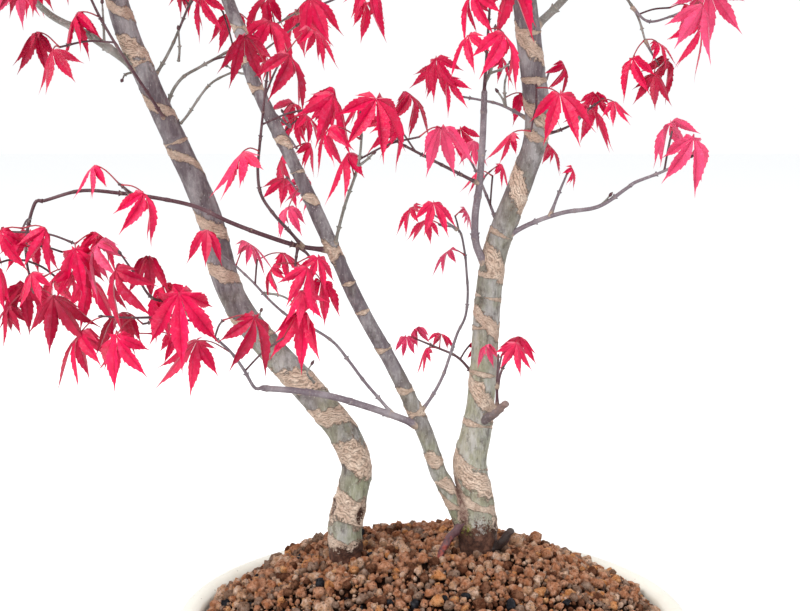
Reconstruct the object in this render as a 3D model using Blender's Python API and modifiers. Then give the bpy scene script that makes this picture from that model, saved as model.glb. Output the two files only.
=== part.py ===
"""A red-leaved maple grown as a small potted tree: three stems in an oval glazed pot.

Metres, +Z up. The origin is the middle of the pot's flat underside, +X runs along the
pot's long axis and -Y is the front of the tree.
"""
import math
import random

import bmesh
import bpy
import numpy as np
from mathutils import Vector, noise

# Pot: an oval dish with a wide rounded lip, filled with a mound of soil grains.
POT_LENGTH = 0.268
POT_DEPTH = 0.226
POT_HEIGHT = 0.058
LIP_WIDTH = 0.0135
LIP_THICKNESS = 0.011
WALL = 0.008
FLOOR = 0.008
BODY_INSET = 0.009
FOOT_INSET = 0.026
FOOT_HEIGHT = 0.005
FOOT_STEP = 0.003
FOOT_BEVEL = 0.001
FILLET = 0.010
POT_STEPS = 32
LIP_POINTS = 6
LIP_TURN = (180, -40)
LIP_NECK = 0.002
BELLY_SHARES = (0.35, 0.7, 1.0)
BELLY_TOP = 0.78
BELLY_DROP = 0.62
INNER_TURN = (-60, -20)

SOIL_EDGE = 0.052
SOIL_PEAK = 0.090
SOIL_FULLNESS = 1.3
SOIL_RINGS = 12
LUMP_HEIGHT = 0.0085
LUMP_CELL = 0.012
FOOT_SINK = 0.003

# Fits and fineness
GAP = 0.0003
WELD = 0.00001
AXIS_WELD = 0.0001
TRUNK_SIDES = 8
BOUGH_SIDES = 6
LIMB_STEP = 0.017
TWIG_STEP = 0.012
CURVE_STEPS = 12
TWIG_SECTION = "twig_section"

# Colours, roughness
GLAZE = ((0.80, 0.76, 0.68), 0.25)
GRAINS = ((0.16, 0.10, 0.07), 0.95)
BARK = ((0.28, 0.27, 0.25), 0.75)
SHOOT_BARK = ((0.22, 0.18, 0.19), 0.6)
LEAF_RED = ((0.72, 0.03, 0.07), 0.5)

# Stems: the points of the middle line from the soil to the tip, and the diameter at each.
STEMS = {
    "left_trunk": (
        ((-0.044, 0, 0.070), (-0.045, 0, 0.107), (-0.039, 0.001, 0.131), (-0.045, 0.002, 0.151),
         (-0.064, 0.004, 0.175), (-0.087, 0.005, 0.201), (-0.103, 0.006, 0.226), (-0.113, 0.005, 0.266),
         (-0.132, 0.002, 0.312), (-0.145, -0.002, 0.345), (-0.151, -0.006, 0.367), (-0.157, -0.010, 0.405),
         (-0.150, -0.008, 0.445), (-0.156, -0.002, 0.485), (-0.150, 0.002, 0.520)),
        (0.0182, 0.0172, 0.015, 0.0155, 0.015, 0.0135, 0.0132, 0.0126, 0.0108, 0.011, 0.0105, 0.0095,
         0.0075, 0.0055, 0.003)),
    "right_trunk": (
        ((0.024, 0.002, 0.070), (0.023, 0.002, 0.109), (0.019, 0.003, 0.135), (0.022, 0.004, 0.153),
         (0.025, 0.005, 0.177), (0.027, 0.006, 0.216), (0.031, 0.006, 0.246), (0.044, 0.003, 0.284),
         (0.050, 0, 0.308), (0.046, -0.003, 0.339), (0.042, -0.005, 0.367), (0.036, -0.004, 0.408),
         (0.045, 0.002, 0.450), (0.038, 0.006, 0.492), (0.044, 0.004, 0.530)),
        (0.0215, 0.019, 0.017, 0.0155, 0.0135, 0.013, 0.0125, 0.0115, 0.012, 0.012, 0.0115, 0.010,
         0.008, 0.0055, 0.003)),
    "middle_stem": (
        ((0.004, -0.002, 0.130), (-0.001, -0.004, 0.146), (-0.018, -0.008, 0.185), (-0.036, -0.010, 0.219),
         (-0.049, -0.010, 0.247), (-0.066, -0.008, 0.285), (-0.088, -0.004, 0.331), (-0.093, 0, 0.351),
         (-0.100, 0.004, 0.368), (-0.108, 0.008, 0.402), (-0.098, 0.006, 0.436), (-0.092, 0, 0.462)),
        (0.0086, 0.0082, 0.0076, 0.007, 0.007, 0.0065, 0.006, 0.006, 0.0058, 0.005, 0.004, 0.0024)),
}

# What grows out of the foot of the right trunk and is one piece of wood with it.
SPURS = {
    "fork": (((0.022, 0.001, 0.086), (0.016, 0, 0.106), (0.009, -0.001, 0.120), (0.004, -0.002, 0.130)),
             (0.012, 0.010, 0.0092, 0.0086)),
    "root": (((0.020, 0, 0.110), (0.009, -0.006, 0.100), (0.003, -0.010, 0.090), (0.000, -0.012, 0.080)),
             (0.007, 0.0055, 0.005, 0.004)),
    "base_stub": (((0.028, 0, 0.090), (0.035, -0.006, 0.093), (0.039, -0.009, 0.098)),
                  (0.007, 0.006, 0.0045)),
    "cut_stub": (((0.023, 0.004, 0.157), (0.028, -0.006, 0.163), (0.035, -0.014, 0.172)),
                 (0.005, 0.004, 0.0038)),
}

# Boughs: the stem each grows from, its middle line from inside that stem, and the
# diameters at its root and tip.
BOUGHS = {
    "low_left_bough": (
        "middle_stem",
        ((-0.006, -0.005, 0.158), (-0.019, -0.012, 0.165), (-0.039, -0.020, 0.174),
         (-0.058, -0.024, 0.180), (-0.083, -0.030, 0.184)),
        (0.0044, 0.0034)),
    "left_shoot": (
        "middle_stem",
        ((-0.049, -0.010, 0.248), (-0.066, -0.016, 0.251), (-0.093, -0.022, 0.261),
         (-0.116, -0.028, 0.272), (-0.148, -0.034, 0.278), (-0.169, -0.038, 0.279),
         (-0.180, -0.042, 0.275)),
        (0.0028, 0.0018)),
    "side_stem": (
        "right_trunk",
        ((0.030, 0.006, 0.235), (0.021, 0.002, 0.249), (0.020, -0.002, 0.265),
         (0.022, -0.004, 0.282), (0.023, -0.008, 0.308), (0.023, -0.013, 0.324)),
        (0.0046, 0.0034)),
    "right_bough": (
        "right_trunk",
        ((0.032, 0.006, 0.251), (0.055, -0.004, 0.264), (0.079, -0.014, 0.270),
         (0.092, -0.020, 0.280)),
        (0.0030, 0.0020)),
    "upper_left_bough": (
        "left_trunk",
        ((-0.141, -0.001, 0.332), (-0.151, -0.006, 0.341), (-0.158, -0.014, 0.348),
         (-0.180, -0.020, 0.360), (-0.202, -0.024, 0.385)),
        (0.0054, 0.0024)),
    "left_back_bough": (
        "left_trunk",
        ((-0.156, -0.009, 0.396), (-0.170, 0.015, 0.416), (-0.188, 0.042, 0.436)),
        (0.0046, 0.0022)),
    "left_front_bough": (
        "left_trunk",
        ((-0.151, -0.008, 0.438), (-0.158, -0.028, 0.452), (-0.164, -0.056, 0.468)),
        (0.0042, 0.0022)),
    "middle_back_bough": (
        "middle_stem",
        ((-0.104, 0.007, 0.386), (-0.094, 0.030, 0.408), (-0.082, 0.058, 0.426)),
        (0.0036, 0.0020)),
    "middle_front_bough": (
        "middle_stem",
        ((-0.100, 0.006, 0.428), (-0.086, -0.014, 0.440), (-0.072, -0.046, 0.452)),
        (0.0032, 0.0020)),
    "right_inner_bough": (
        "right_trunk",
        ((0.037, -0.004, 0.400), (0.012, -0.006, 0.424), (-0.014, -0.010, 0.446)),
        (0.0046, 0.0022)),
    "upper_right_bough": (
        "right_trunk",
        ((0.044, -0.004, 0.352), (0.056, 0.006, 0.362), (0.080, 0.016, 0.384),
         (0.112, 0.018, 0.404), (0.140, 0.014, 0.424)),
        (0.0048, 0.0022)),
    "right_front_bough": (
        "right_trunk",
        ((0.038, -0.003, 0.422), (0.062, -0.024, 0.440), (0.088, -0.052, 0.454)),
        (0.0044, 0.0022)),
    "right_back_bough": (
        "right_trunk",
        ((0.043, 0.001, 0.438), (0.050, 0.028, 0.456), (0.058, 0.058, 0.474)),
        (0.0042, 0.0022)),
    "top_right_bough": (
        "right_trunk",
        ((0.040, 0.005, 0.476), (0.066, 0.010, 0.494), (0.094, 0.012, 0.508)),
        (0.0038, 0.0020)),
}

# Leaf masses: the limb each hangs on, "tip" or "side", the middle line of its one stem (a tip
# stem's own foot is left out), its leaf length, how far its space reaches from the stem's
# leafy end, and one seed for each leafy node, counted down from the stem's tip.
MASSES = {
    "low_left_leaves": ("low_left_bough", "tip", ((-0.095, -0.042, 0.203), (-0.108, -0.055, 0.220),
         (-0.116, -0.060, 0.232)),
        0.035, 0.062, (94, 43, 156, 339, 52)),
    "inner_left_leaves": ("low_left_bough", "side", ((-0.019, -0.013, 0.167), (-0.035, -0.018, 0.185),
         (-0.051, -0.020, 0.206), (-0.073, -0.018, 0.218), (-0.088, -0.016, 0.233),
         (-0.106, -0.014, 0.250)),
        0.026, 0.060, (185, 53, 32)),
    "hanging_leaves": ("left_shoot", "side", ((-0.066, -0.016, 0.251), (-0.066, -0.024, 0.249),
         (-0.066, -0.032, 0.246), (-0.066, -0.038, 0.241)),
        0.026, 0.045, (104,)),
    "left_shoot_leaves": ("left_shoot", "side", ((-0.142, -0.033, 0.277), (-0.143, -0.042, 0.281),
         (-0.143, -0.050, 0.283)),
        0.026, 0.045, (164,)),
    "far_left_leaves": ("left_shoot", "tip", ((-0.186, -0.046, 0.266), (-0.187, -0.050, 0.252),
         (-0.184, -0.052, 0.236)),
        0.030, 0.060, (150, 270, 432)),
    "middle_left_leaves": ("left_shoot", "side", ((-0.064, -0.015, 0.251), (-0.069, -0.022, 0.258),
         (-0.082, -0.034, 0.279), (-0.079, -0.046, 0.310), (-0.075, -0.054, 0.334)),
        0.034, 0.062, (438, 400, 195, 79)),
    "middle_front_leaves": ("middle_stem", "side", ((-0.049, -0.010, 0.248), (-0.045, -0.018, 0.265),
         (-0.041, -0.030, 0.277), (-0.036, -0.046, 0.291), (-0.034, -0.058, 0.304),
         (-0.034, -0.066, 0.314)),
        0.033, 0.062, (190, 98, 412, 116)),
    "middle_rear_leaves": ("middle_stem", "side", ((-0.076, -0.005, 0.301), (-0.076, 0.010, 0.304),
         (-0.074, 0.024, 0.302), (-0.071, 0.036, 0.296)),
        0.024, 0.045, (183, 415, 72)),
    "side_stem_leaves": ("side_stem", "tip", ((0.023, -0.024, 0.338), (0.023, -0.032, 0.350),
         (0.023, -0.042, 0.362)),
        0.031, 0.060, (368, 330, 109)),
    "front_stem_leaves": ("side_stem", "side", ((0.020, -0.004, 0.280), (0.001, -0.020, 0.291),
         (-0.017, -0.038, 0.301), (-0.024, -0.050, 0.306)),
        0.028, 0.050, (364, 222, 382)),
    "right_leaves": ("right_bough", "tip", ((0.110, -0.026, 0.289), (0.118, -0.028, 0.294)),
        0.026, 0.050, (403, 40)),
    "right_twig_leaves": ("right_bough", "side", ((0.056, -0.004, 0.265), (0.060, -0.002, 0.273),
         (0.065, 0.002, 0.284)),
        0.015, 0.028, (433,)),
    "hanging_right_leaves": ("upper_right_bough", "side", ((0.080, 0.016, 0.384),
         (0.099, 0.024, 0.366), (0.106, 0.026, 0.350)),
        0.024, 0.048, (399, 68, 180)),
    "inner_leaves": ("middle_stem", "side", ((-0.005, -0.004, 0.165), (0.003, 0, 0.179),
         (0.012, 0.010, 0.202), (0.018, 0.022, 0.215), (0.016, 0.022, 0.245), (0.012, 0.018, 0.256),
         (0.004, 0.012, 0.258)),
        0.019, 0.042, (388, 383, 147)),
    "low_inner_leaves": ("right_trunk", "side", ((0.024, 0.005, 0.175), (0.015, 0.018, 0.187),
         (0, 0.026, 0.193), (-0.008, 0.028, 0.196)),
        0.016, 0.036, (121, 53, 67)),
    "stub_leaves": ("cut_stub", "side", ((0.031, -0.010, 0.168), (0.031, -0.013, 0.180),
         (0.031, -0.018, 0.196)),
        0.018, 0.032, (359, 400)),
    "rear_trunk_leaves": ("right_trunk", "side", ((0.034, 0.007, 0.254), (0.028, 0.022, 0.270),
         (0.020, 0.028, 0.288), (0.012, 0.030, 0.300)),
        0.022, 0.046, (321, 284, 95, 315)),
    "trunk_left_leaves": ("right_trunk", "side", ((0.042, 0.002, 0.309), (0.035, 0.008, 0.317),
         (0.024, 0.016, 0.320), (0.013, 0.022, 0.322)),
        0.024, 0.044, (152, 2, 424)),
    "trunk_front_leaves": ("right_trunk", "side", ((0.048, -0.008, 0.309), (0.047, -0.020, 0.318),
         (0.046, -0.027, 0.326)),
        0.026, 0.040, (420, 315)),
    "trunk_right_leaves": ("right_trunk", "side", ((0.054, -0.002, 0.303), (0.061, -0.008, 0.306),
         (0.066, -0.012, 0.309)),
        0.028, 0.045, (157,)),
    "trunk_rear_leaves": ("right_trunk", "side", ((0.049, 0, 0.318), (0.054, 0.014, 0.326),
         (0.058, 0.024, 0.334)),
        0.023, 0.040, (292, 210)),
    "left_trunk_leaves": ("left_trunk", "side", ((-0.129, 0.002, 0.310), (-0.128, 0.005, 0.326),
         (-0.118, 0.014, 0.335), (-0.102, 0.026, 0.345), (-0.071, 0.044, 0.364)),
        0.030, 0.060, (262, 75, 9, 284, 277)),
    "left_up_leaves": ("left_trunk", "side", ((-0.138, 0, 0.328), (-0.131, 0.010, 0.342),
         (-0.124, 0.018, 0.360), (-0.118, 0.026, 0.378)),
        0.028, 0.050, (326, 108, 87)),
    "left_twig_leaves": ("left_trunk", "side", ((-0.130, -0.004, 0.308), (-0.135, -0.016, 0.322),
         (-0.143, -0.024, 0.337), (-0.153, -0.034, 0.358), (-0.160, -0.044, 0.380)),
        0.030, 0.055, (3, 434, 20, 71)),
    "left_side_leaves": ("upper_left_bough", "tip", ((-0.214, -0.028, 0.398), (-0.224, -0.030, 0.410),
         (-0.230, -0.032, 0.424)),
        0.032, 0.062, (1, 152, 5)),
    "left_rear_leaves": ("left_back_bough", "tip", ((-0.194, 0.054, 0.446), (-0.200, 0.066, 0.458),
         (-0.204, 0.078, 0.470)),
        0.032, 0.062, (1, 28, 22)),
    "left_front_leaves": ("left_front_bough", "tip", ((-0.163, -0.070, 0.474), (-0.160, -0.084, 0.480),
         (-0.156, -0.098, 0.484)),
        0.032, 0.062, (1, 1, 7)),
    "left_top_leaves": ("left_trunk", "tip", ((-0.149, 0.003, 0.534), (-0.146, 0.004, 0.548),
         (-0.142, 0.006, 0.560)),
        0.030, 0.060, (1, 19, 35)),
    "middle_rear_top_leaves": ("middle_back_bough", "tip", ((-0.077, 0.070, 0.434),
         (-0.072, 0.082, 0.442), (-0.068, 0.094, 0.452)),
        0.032, 0.060, (1, 1, 2)),
    "middle_front_top_leaves": ("middle_front_bough", "tip", ((-0.068, -0.060, 0.454),
         (-0.064, -0.074, 0.454), (-0.060, -0.088, 0.450)),
        0.032, 0.060, (1, 1, 31)),
    "middle_top_leaves": ("middle_stem", "tip", ((-0.090, -0.002, 0.476), (-0.088, -0.004, 0.490),
         (-0.084, -0.004, 0.504)),
        0.030, 0.058, (1, 16, 69)),
    "inner_top_leaves": ("right_inner_bough", "tip", ((-0.024, -0.012, 0.458), (-0.032, -0.014, 0.470),
         (-0.038, -0.014, 0.484)),
        0.031, 0.060, (15, 15, 9)),
    "upper_right_leaves": ("upper_right_bough", "tip", ((0.154, 0.012, 0.432), (0.166, 0.010, 0.438),
         (0.178, 0.008, 0.442)),
        0.032, 0.060, (1, 1, 7)),
    "right_front_leaves": ("right_front_bough", "tip", ((0.098, -0.064, 0.458), (0.106, -0.076, 0.462),
         (0.112, -0.088, 0.464)),
        0.032, 0.060, (1, 1, 94)),
    "right_rear_leaves": ("right_back_bough", "tip", ((0.062, 0.070, 0.482), (0.064, 0.084, 0.490),
         (0.066, 0.096, 0.498)),
        0.032, 0.060, (1, 1, 149)),
    "right_top_leaves": ("right_trunk", "tip", ((0.046, 0.003, 0.544), (0.046, 0.002, 0.556),
         (0.044, 0.002, 0.568)),
        0.030, 0.060, (1, 4, 149)),
    "top_right_leaves": ("top_right_bough", "tip", ((0.108, 0.012, 0.514), (0.120, 0.012, 0.520),
         (0.132, 0.012, 0.524)),
        0.031, 0.060, (1, 1, 7)),
}
MASS_STEM = (0.0020, 0.0012)
STRAIGHT_FOOT = 0.004

# Nodes: leafy places down a stem, each with a pair of leaves or of side twigs that carry two.
NODE_SPACING = 0.013
NODE_ROLL = 0.6
BARE_FOOT = 0.012
HEADING_STEP = 0.002
STEEP = 0.9
SHOOT_LEAN = (0.2, 0.7)
TWIG_SHARE = 0.45
TWIG_RISE = 0.2
TWIG_LENGTH = (0.5, 0.9)
TWIG_RADIUS = 0.0006
TWIG_LEAF = 0.92
PAIR_LEAN = (0.3, 0.9)

# Stalks
STALK_RADIUS = 0.00045
STALK_TIP_RADIUS = 0.0002
STALK_SETBACK = 0.25
STALK_SHARE = (0.35, 0.55)
STALK_RISE = (-0.1, 0.6)

# The room that growth takes up and keeps clear of other growth.
CLEAR = 0.0009
LEAF_CLEAR = 0.0022
STALK_ROOM = 0.0005
LOBE_ROOM = 0.055
ROOM_START = 0.35
TWIG_START = 0.2
SEARCH_REACH = 0.065
SPACE_DROP = 0.2
TINY = 1e-18

# A blade: the rim of a five-lobed leaf, as an angle from the middle lobe and a share of the
# leaf's length, and half of its thickness in the middle.
LOBES = ((0, 1.0), (38, 0.94), (-38, 0.94), (76, 0.70), (-76, 0.70))
NOTCHES = ((19, 0.34), (-19, 0.34), (57, 0.31), (-57, 0.31))
HEEL = ((180, 0.12),)
RIM = sorted(LOBES + NOTCHES + HEEL)
HALF_THICKNESS = 0.0005
LEVEL_LIMIT = 0.05
BLADE_TURN = 0.5
BLADE_FALL = (38, 84)
BLADE_ROLL = 0.5
BLADE_SIZE = (0.72, 1.06)
LOBE_DROOP = (10, 36)
LOBE_BEND = (0.5, 0.9)
QUARTER = 90

UP = np.array((0.0, 0.0, 1.0))


# Lines

def unit(vector):
    vector = np.asarray(vector, float)
    return vector / np.linalg.norm(vector)


def lengths(line):
    """How far along the line each of its points is."""
    return np.concatenate(([0.0], np.cumsum(np.linalg.norm(np.diff(line, axis=0), axis=1))))


def smooth(points, step):
    """An even line of points on a smooth curve through the given ones."""
    points = [np.array(point, float) for point in points]
    ends = [2 * points[0] - points[1]] + points + [2 * points[-1] - points[-2]]
    fine = []
    for a, b, c, d in zip(ends, ends[1:], ends[2:], ends[3:]):
        for t in np.arange(CURVE_STEPS) / CURVE_STEPS:
            fine.append(0.5 * (2 * b + (c - a) * t + (2 * a - 5 * b + 4 * c - d) * t ** 2
                               + (3 * b - a - 3 * c + d) * t ** 3))
    fine = np.array(fine + [points[-1]])
    along = lengths(fine)
    stops = np.linspace(0, along[-1], max(2, round(along[-1] / step)) + 1)
    return np.stack([np.interp(stops, along, fine[:, axis]) for axis in range(3)], 1)


def radii_along(route, widths, line):
    """The radius at each point of a line, from widths given along its route."""
    route_share = lengths(np.array(route)) / lengths(np.array(route))[-1]
    width_share = route_share if len(widths) == len(route) else np.linspace(0, 1, len(widths))
    return np.interp(lengths(line) / lengths(line)[-1], width_share, widths) / 2


def nearest_on(line, point):
    """The point of a line that is nearest to another point."""
    starts, steps = line[:-1], np.diff(line, axis=0)
    share = np.clip(((point - starts) * steps).sum(1) / (steps * steps).sum(1), 0, 1)
    spots = starts + steps * share[:, None]
    return spots[np.argmin(np.linalg.norm(spots - point, axis=1))]


def straight_on(line, route, step):
    """A line that carries on from another's end, at first straight ahead and just clear of it."""
    ahead = unit(line[-1] - line[-2])
    return np.vstack((line[-1] + ahead * GAP, smooth((line[-1] + ahead * STRAIGHT_FOOT, *route), step)))


def limb_lines():
    """The middle line and the radii of every stem, spur and bough."""
    lines = {}
    for name, (route, widths) in {**SPURS, **STEMS}.items():
        if name == "middle_stem":
            line = straight_on(lines["fork"][0], route[1:], LIMB_STEP)
        else:
            line = smooth(route, LIMB_STEP)
        lines[name] = (line, radii_along(route, widths, line))
    for name, (parent, route, widths) in BOUGHS.items():
        line = smooth((nearest_on(lines[parent][0], route[0]), *route[1:]), LIMB_STEP)
        lines[name] = (line, radii_along(line, widths, line))
    return lines


def mass_stem(name, limbs):
    """The middle line of a mass's stem, which at a limb's tip starts just clear of it."""
    limb, place, route = MASSES[name][:3]
    line = limbs[limb][0]
    if place == "tip":
        return straight_on(line, route, TWIG_STEP)
    return smooth((nearest_on(line, route[0]), *route[1:]), TWIG_STEP)


def nodes_on(line, count):
    """The place and heading of each leafy node, from the tip down."""
    along = lengths(line)
    nodes = []
    for index in range(count):
        stop = along[-1] - index * NODE_SPACING
        if stop <= BARE_FOOT:
            break
        place, before = [np.array([np.interp(at, along, line[:, axis]) for axis in range(3)])
                         for at in (stop, stop - HEADING_STEP)]
        nodes.append((place, unit(place - before)))
    return nodes


# The growth rule

class Leaf:
    """One blade on its stalk, drawn at a node."""

    def __init__(self, node, out, size, twig, draw):
        self.node = node
        self.twig = twig
        stalk = size * draw.uniform(*STALK_SHARE)
        self.centre = node + unit(out + UP * draw.uniform(*STALK_RISE)) * stalk
        flat = np.array((out[0], out[1], 0.0))
        flat = unit(flat) if np.linalg.norm(flat) > LEVEL_LIMIT else np.array((1.0, 0.0, 0.0))
        turn = draw.uniform(-BLADE_TURN, BLADE_TURN)
        flat = np.array((flat[0] * math.cos(turn) - flat[1] * math.sin(turn),
                         flat[0] * math.sin(turn) + flat[1] * math.cos(turn), 0.0))
        fall = math.radians(draw.uniform(*BLADE_FALL))
        self.ahead = flat * math.cos(fall) - UP * math.sin(fall)
        level = flat * math.sin(fall) + UP * math.cos(fall)
        roll = draw.uniform(-BLADE_ROLL, BLADE_ROLL)
        self.up = level * math.cos(roll) + np.cross(level, self.ahead) * math.sin(roll)
        self.size = size * draw.uniform(*BLADE_SIZE)
        self.droop = math.radians(draw.uniform(*LOBE_DROOP))
        self.rim = [self.rim_point(angle, far) for angle, far in RIM]

    def rim_point(self, angle, far):
        """A point of the rim: the outer lobes and the far ends hang lower."""
        turn = math.radians(angle)
        side = np.cross(self.up, self.ahead)
        out = self.ahead * math.cos(turn) + side * math.sin(turn)
        bend = LOBE_BEND[0] + LOBE_BEND[1] * abs(angle) / QUARTER if abs(angle) <= QUARTER else 1.0
        fall = self.droop * far * bend
        return self.centre + (out * math.cos(fall) - self.up * math.sin(fall)) * self.size * far

    def stalk_room(self):
        start = self.node * (1 - ROOM_START) + self.centre * ROOM_START
        return start[None], self.centre[None], np.array((STALK_ROOM,))

    def lobe_room(self):
        tips = np.array([point for point, lobe in zip(self.rim, RIM) if lobe in LOBES])
        return np.repeat(self.centre[None], len(tips), 0), tips, np.full(len(tips), self.size * LOBE_ROOM)


def draw_node(place, heading, roll, size, seed, at_tip):
    """The side twigs and leaves of one node: a pair of shoots or leaves on opposite sides."""
    draw = random.Random(seed)
    across = unit(np.cross(heading, UP if abs(heading[2]) < STEEP else (0, 1, 0)))
    roll = roll + draw.uniform(-NODE_ROLL, NODE_ROLL)
    ray = across * math.cos(roll) + np.cross(heading, across) * math.sin(roll)
    twigs = []
    leaves = []
    for sign in (1, -1):
        out = unit(ray * sign + heading * draw.uniform(*SHOOT_LEAN))
        if at_tip or draw.random() >= TWIG_SHARE:
            leaves.append(Leaf(place, out, size, None, draw))
            continue
        end = place + unit(out + UP * TWIG_RISE) * size * draw.uniform(*TWIG_LENGTH)
        go = unit(end - place)
        bend = unit(np.cross(go, UP) + TINY)
        for side in (1, -1):
            leaf_out = unit(bend * side + go * draw.uniform(*PAIR_LEAN))
            leaves.append(Leaf(end, leaf_out, size * TWIG_LEAF, len(twigs), draw))
        twigs.append((place, end))
    return twigs, leaves


def capsule_gaps(starts, ends, other_starts, other_ends):
    """The distance of each of some straight lines from each of some others."""
    u = (ends - starts)[:, None]
    v = (other_ends - other_starts)[None]
    w = starts[:, None] - other_starts[None]
    uu, uv, vv, uw, vw = [(a * b).sum(-1) for a, b in ((u, u), (u, v), (v, v), (u, w), (v, w))]
    s = np.clip((uv * vw - vv * uw) / np.maximum(uu * vv - uv * uv, TINY), 0, 1)
    t = np.clip((uv * s + vw) / np.maximum(vv, TINY), 0, 1)
    s = np.clip((uv * t - uw) / np.maximum(uu, TINY), 0, 1)
    return np.linalg.norm(w + s[..., None] * u - t[..., None] * v, axis=-1)


class Room:
    """The limbs, twigs and leaves that are in place, as capsules that nothing new may touch."""

    def __init__(self):
        self.starts = np.zeros((0, 3))
        self.ends = np.zeros((0, 3))
        self.radii = np.zeros(0)
        self.tags = np.zeros(0, int)
        self.names = []

    def add(self, tag, starts, ends, radii):
        if tag not in self.names:
            self.names.append(tag)
        self.starts = np.vstack((self.starts, starts))
        self.ends = np.vstack((self.ends, ends))
        self.radii = np.concatenate((self.radii, radii))
        self.tags = np.concatenate((self.tags, np.full(len(radii), self.names.index(tag))))

    def add_line(self, tag, line, radii):
        self.add(tag, line[:-1], line[1:], np.maximum(radii[:-1], radii[1:]))

    def is_free(self, starts, ends, radii, own=None):
        near = np.linalg.norm((self.starts + self.ends) / 2 - starts.mean(0), axis=1) < SEARCH_REACH
        if own in self.names:
            near &= self.tags != self.names.index(own)
        if not near.any():
            return True
        gaps = capsule_gaps(starts, ends, self.starts[near], self.ends[near])
        return (gaps - radii[:, None] - self.radii[near][None]).min() > CLEAR


def kept_growth(name, twigs, leaves, middle, reach, room):
    """What of a node's draw stays in the mass's own space and touches nothing."""
    kept_twigs = {}
    for index, (start, end) in enumerate(twigs):
        start = start * (1 - TWIG_START) + end * TWIG_START
        if room.is_free(start[None], end[None], np.array((TWIG_RADIUS,)), name):
            kept_twigs[index] = twigs[index]
    kept_leaves = []
    for leaf in leaves:
        if leaf.twig is not None and leaf.twig not in kept_twigs:
            continue
        if max(np.linalg.norm(point - middle) for point in leaf.rim) > reach:
            continue
        if not room.is_free(*leaf.stalk_room(), name) or not room.is_free(*leaf.lobe_room()):
            continue
        if any(capsule_gaps(*leaf.lobe_room()[:2], *other.lobe_room()[:2]).min() < LEAF_CLEAR
               for other in kept_leaves):
            continue
        kept_leaves.append(leaf)
    held = {leaf.twig for leaf in kept_leaves}
    return [twig for index, twig in kept_twigs.items() if index in held], kept_leaves


def claim(name, twigs, leaves, room):
    """Enter a node's growth among what is in place."""
    for start, end in twigs:
        room.add(name + " twigs", start[None], end[None], np.array((TWIG_RADIUS,)))
    for leaf in leaves:
        room.add(name + " lobes", *leaf.lobe_room())
        room.add(name, *leaf.stalk_room())


def space_middle(line, count, reach):
    """The middle of a mass's space, a little below its leafy nodes, as leaves hang."""
    return np.mean([place for place, heading in nodes_on(line, count)], 0) - UP * SPACE_DROP * reach


def grow(name, line, room):
    """All side twigs and leaves of one mass."""
    size, reach, seeds = MASSES[name][3:]
    middle = space_middle(line, len(seeds), reach)
    all_twigs = []
    all_leaves = []
    for index, ((spot, heading), seed) in enumerate(zip(nodes_on(line, len(seeds)), seeds)):
        drawn = draw_node(spot, heading, index * math.pi / 2, size, seed, index == 0)
        twigs, leaves = kept_growth(name, *drawn, middle, reach, room)
        claim(name, twigs, leaves, room)
        all_twigs += twigs
        all_leaves += leaves
    return all_twigs, all_leaves


# Materials

def material(name, colour, roughness):
    made = bpy.data.materials.new(name)
    made.use_nodes = True
    shader = made.node_tree.nodes["Principled BSDF"]
    shader.inputs["Base Color"].default_value = (*colour, 1.0)
    shader.inputs["Roughness"].default_value = roughness
    shader.inputs["Metallic"].default_value = 0.0
    made.diffuse_color = (*colour, 1.0)
    return made


# Meshes

def link_mesh(name, shape, collection):
    """A new object from a bmesh."""
    mesh = bpy.data.meshes.new(name)
    shape.to_mesh(mesh)
    shape.free()
    piece = bpy.data.objects.new(name, mesh)
    collection.objects.link(piece)
    return piece


def evaluated_shape(piece, weld=True):
    """An object with its modifiers, as a bmesh, with its doubles merged unless told otherwise."""
    graph = bpy.context.evaluated_depsgraph_get()
    mesh = bpy.data.meshes.new_from_object(piece.evaluated_get(graph))
    shape = bmesh.new()
    shape.from_mesh(mesh)
    bpy.data.meshes.remove(mesh)
    if weld:
        bmesh.ops.remove_doubles(shape, verts=shape.verts, dist=WELD)
    return shape


def tube(name, line, radii, collection, sides=None):
    """A closed tapering tube with flat caps; with no number of sides it is three-sided."""
    curve = bpy.data.curves.new(name, "CURVE")
    curve.dimensions = "3D"
    spline = curve.splines.new("POLY")
    spline.points.add(len(line) - 1)
    for point, place, radius in zip(spline.points, line, radii):
        point.co = (*place, 1.0)
        point.radius = radius
    curve.use_fill_caps = True
    if sides is None:
        curve.bevel_mode = "OBJECT"
        curve.bevel_object = bpy.data.objects[TWIG_SECTION]
    else:
        curve.bevel_depth = 1.0
        curve.bevel_resolution = (sides - 4) // 2
    guide = bpy.data.objects.new(name, curve)
    collection.objects.link(guide)
    shape = evaluated_shape(guide)
    bpy.data.objects.remove(guide)
    bpy.data.curves.remove(curve)
    return link_mesh(name, shape, collection)


def add_twig_section(collection):
    """The triangle that three-sided twigs are swept from."""
    curve = bpy.data.curves.new(TWIG_SECTION, "CURVE")
    curve.dimensions = "2D"
    spline = curve.splines.new("POLY")
    spline.points.add(2)
    spline.use_cyclic_u = True
    for index, point in enumerate(spline.points):
        turn = -math.tau * index / 3
        point.co = (math.cos(turn), math.sin(turn), 0.0, 1.0)
    section = bpy.data.objects.new(TWIG_SECTION, curve)
    section.hide_render = True
    section.display_type = "WIRE"
    collection.objects.link(section)


def boolean(piece, operation, other, solver="EXACT"):
    """Join or cut a piece with another object or a whole collection, and apply it."""
    modifier = piece.modifiers.new(operation.title(), "BOOLEAN")
    modifier.operation = operation
    modifier.solver = solver
    if isinstance(other, bpy.types.Collection):
        modifier.operand_type = "COLLECTION"
        modifier.collection = other
    else:
        modifier.object = other
    shape = evaluated_shape(piece, solver == "EXACT")
    piece.modifiers.clear()
    shape.to_mesh(piece.data)
    shape.free()


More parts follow.
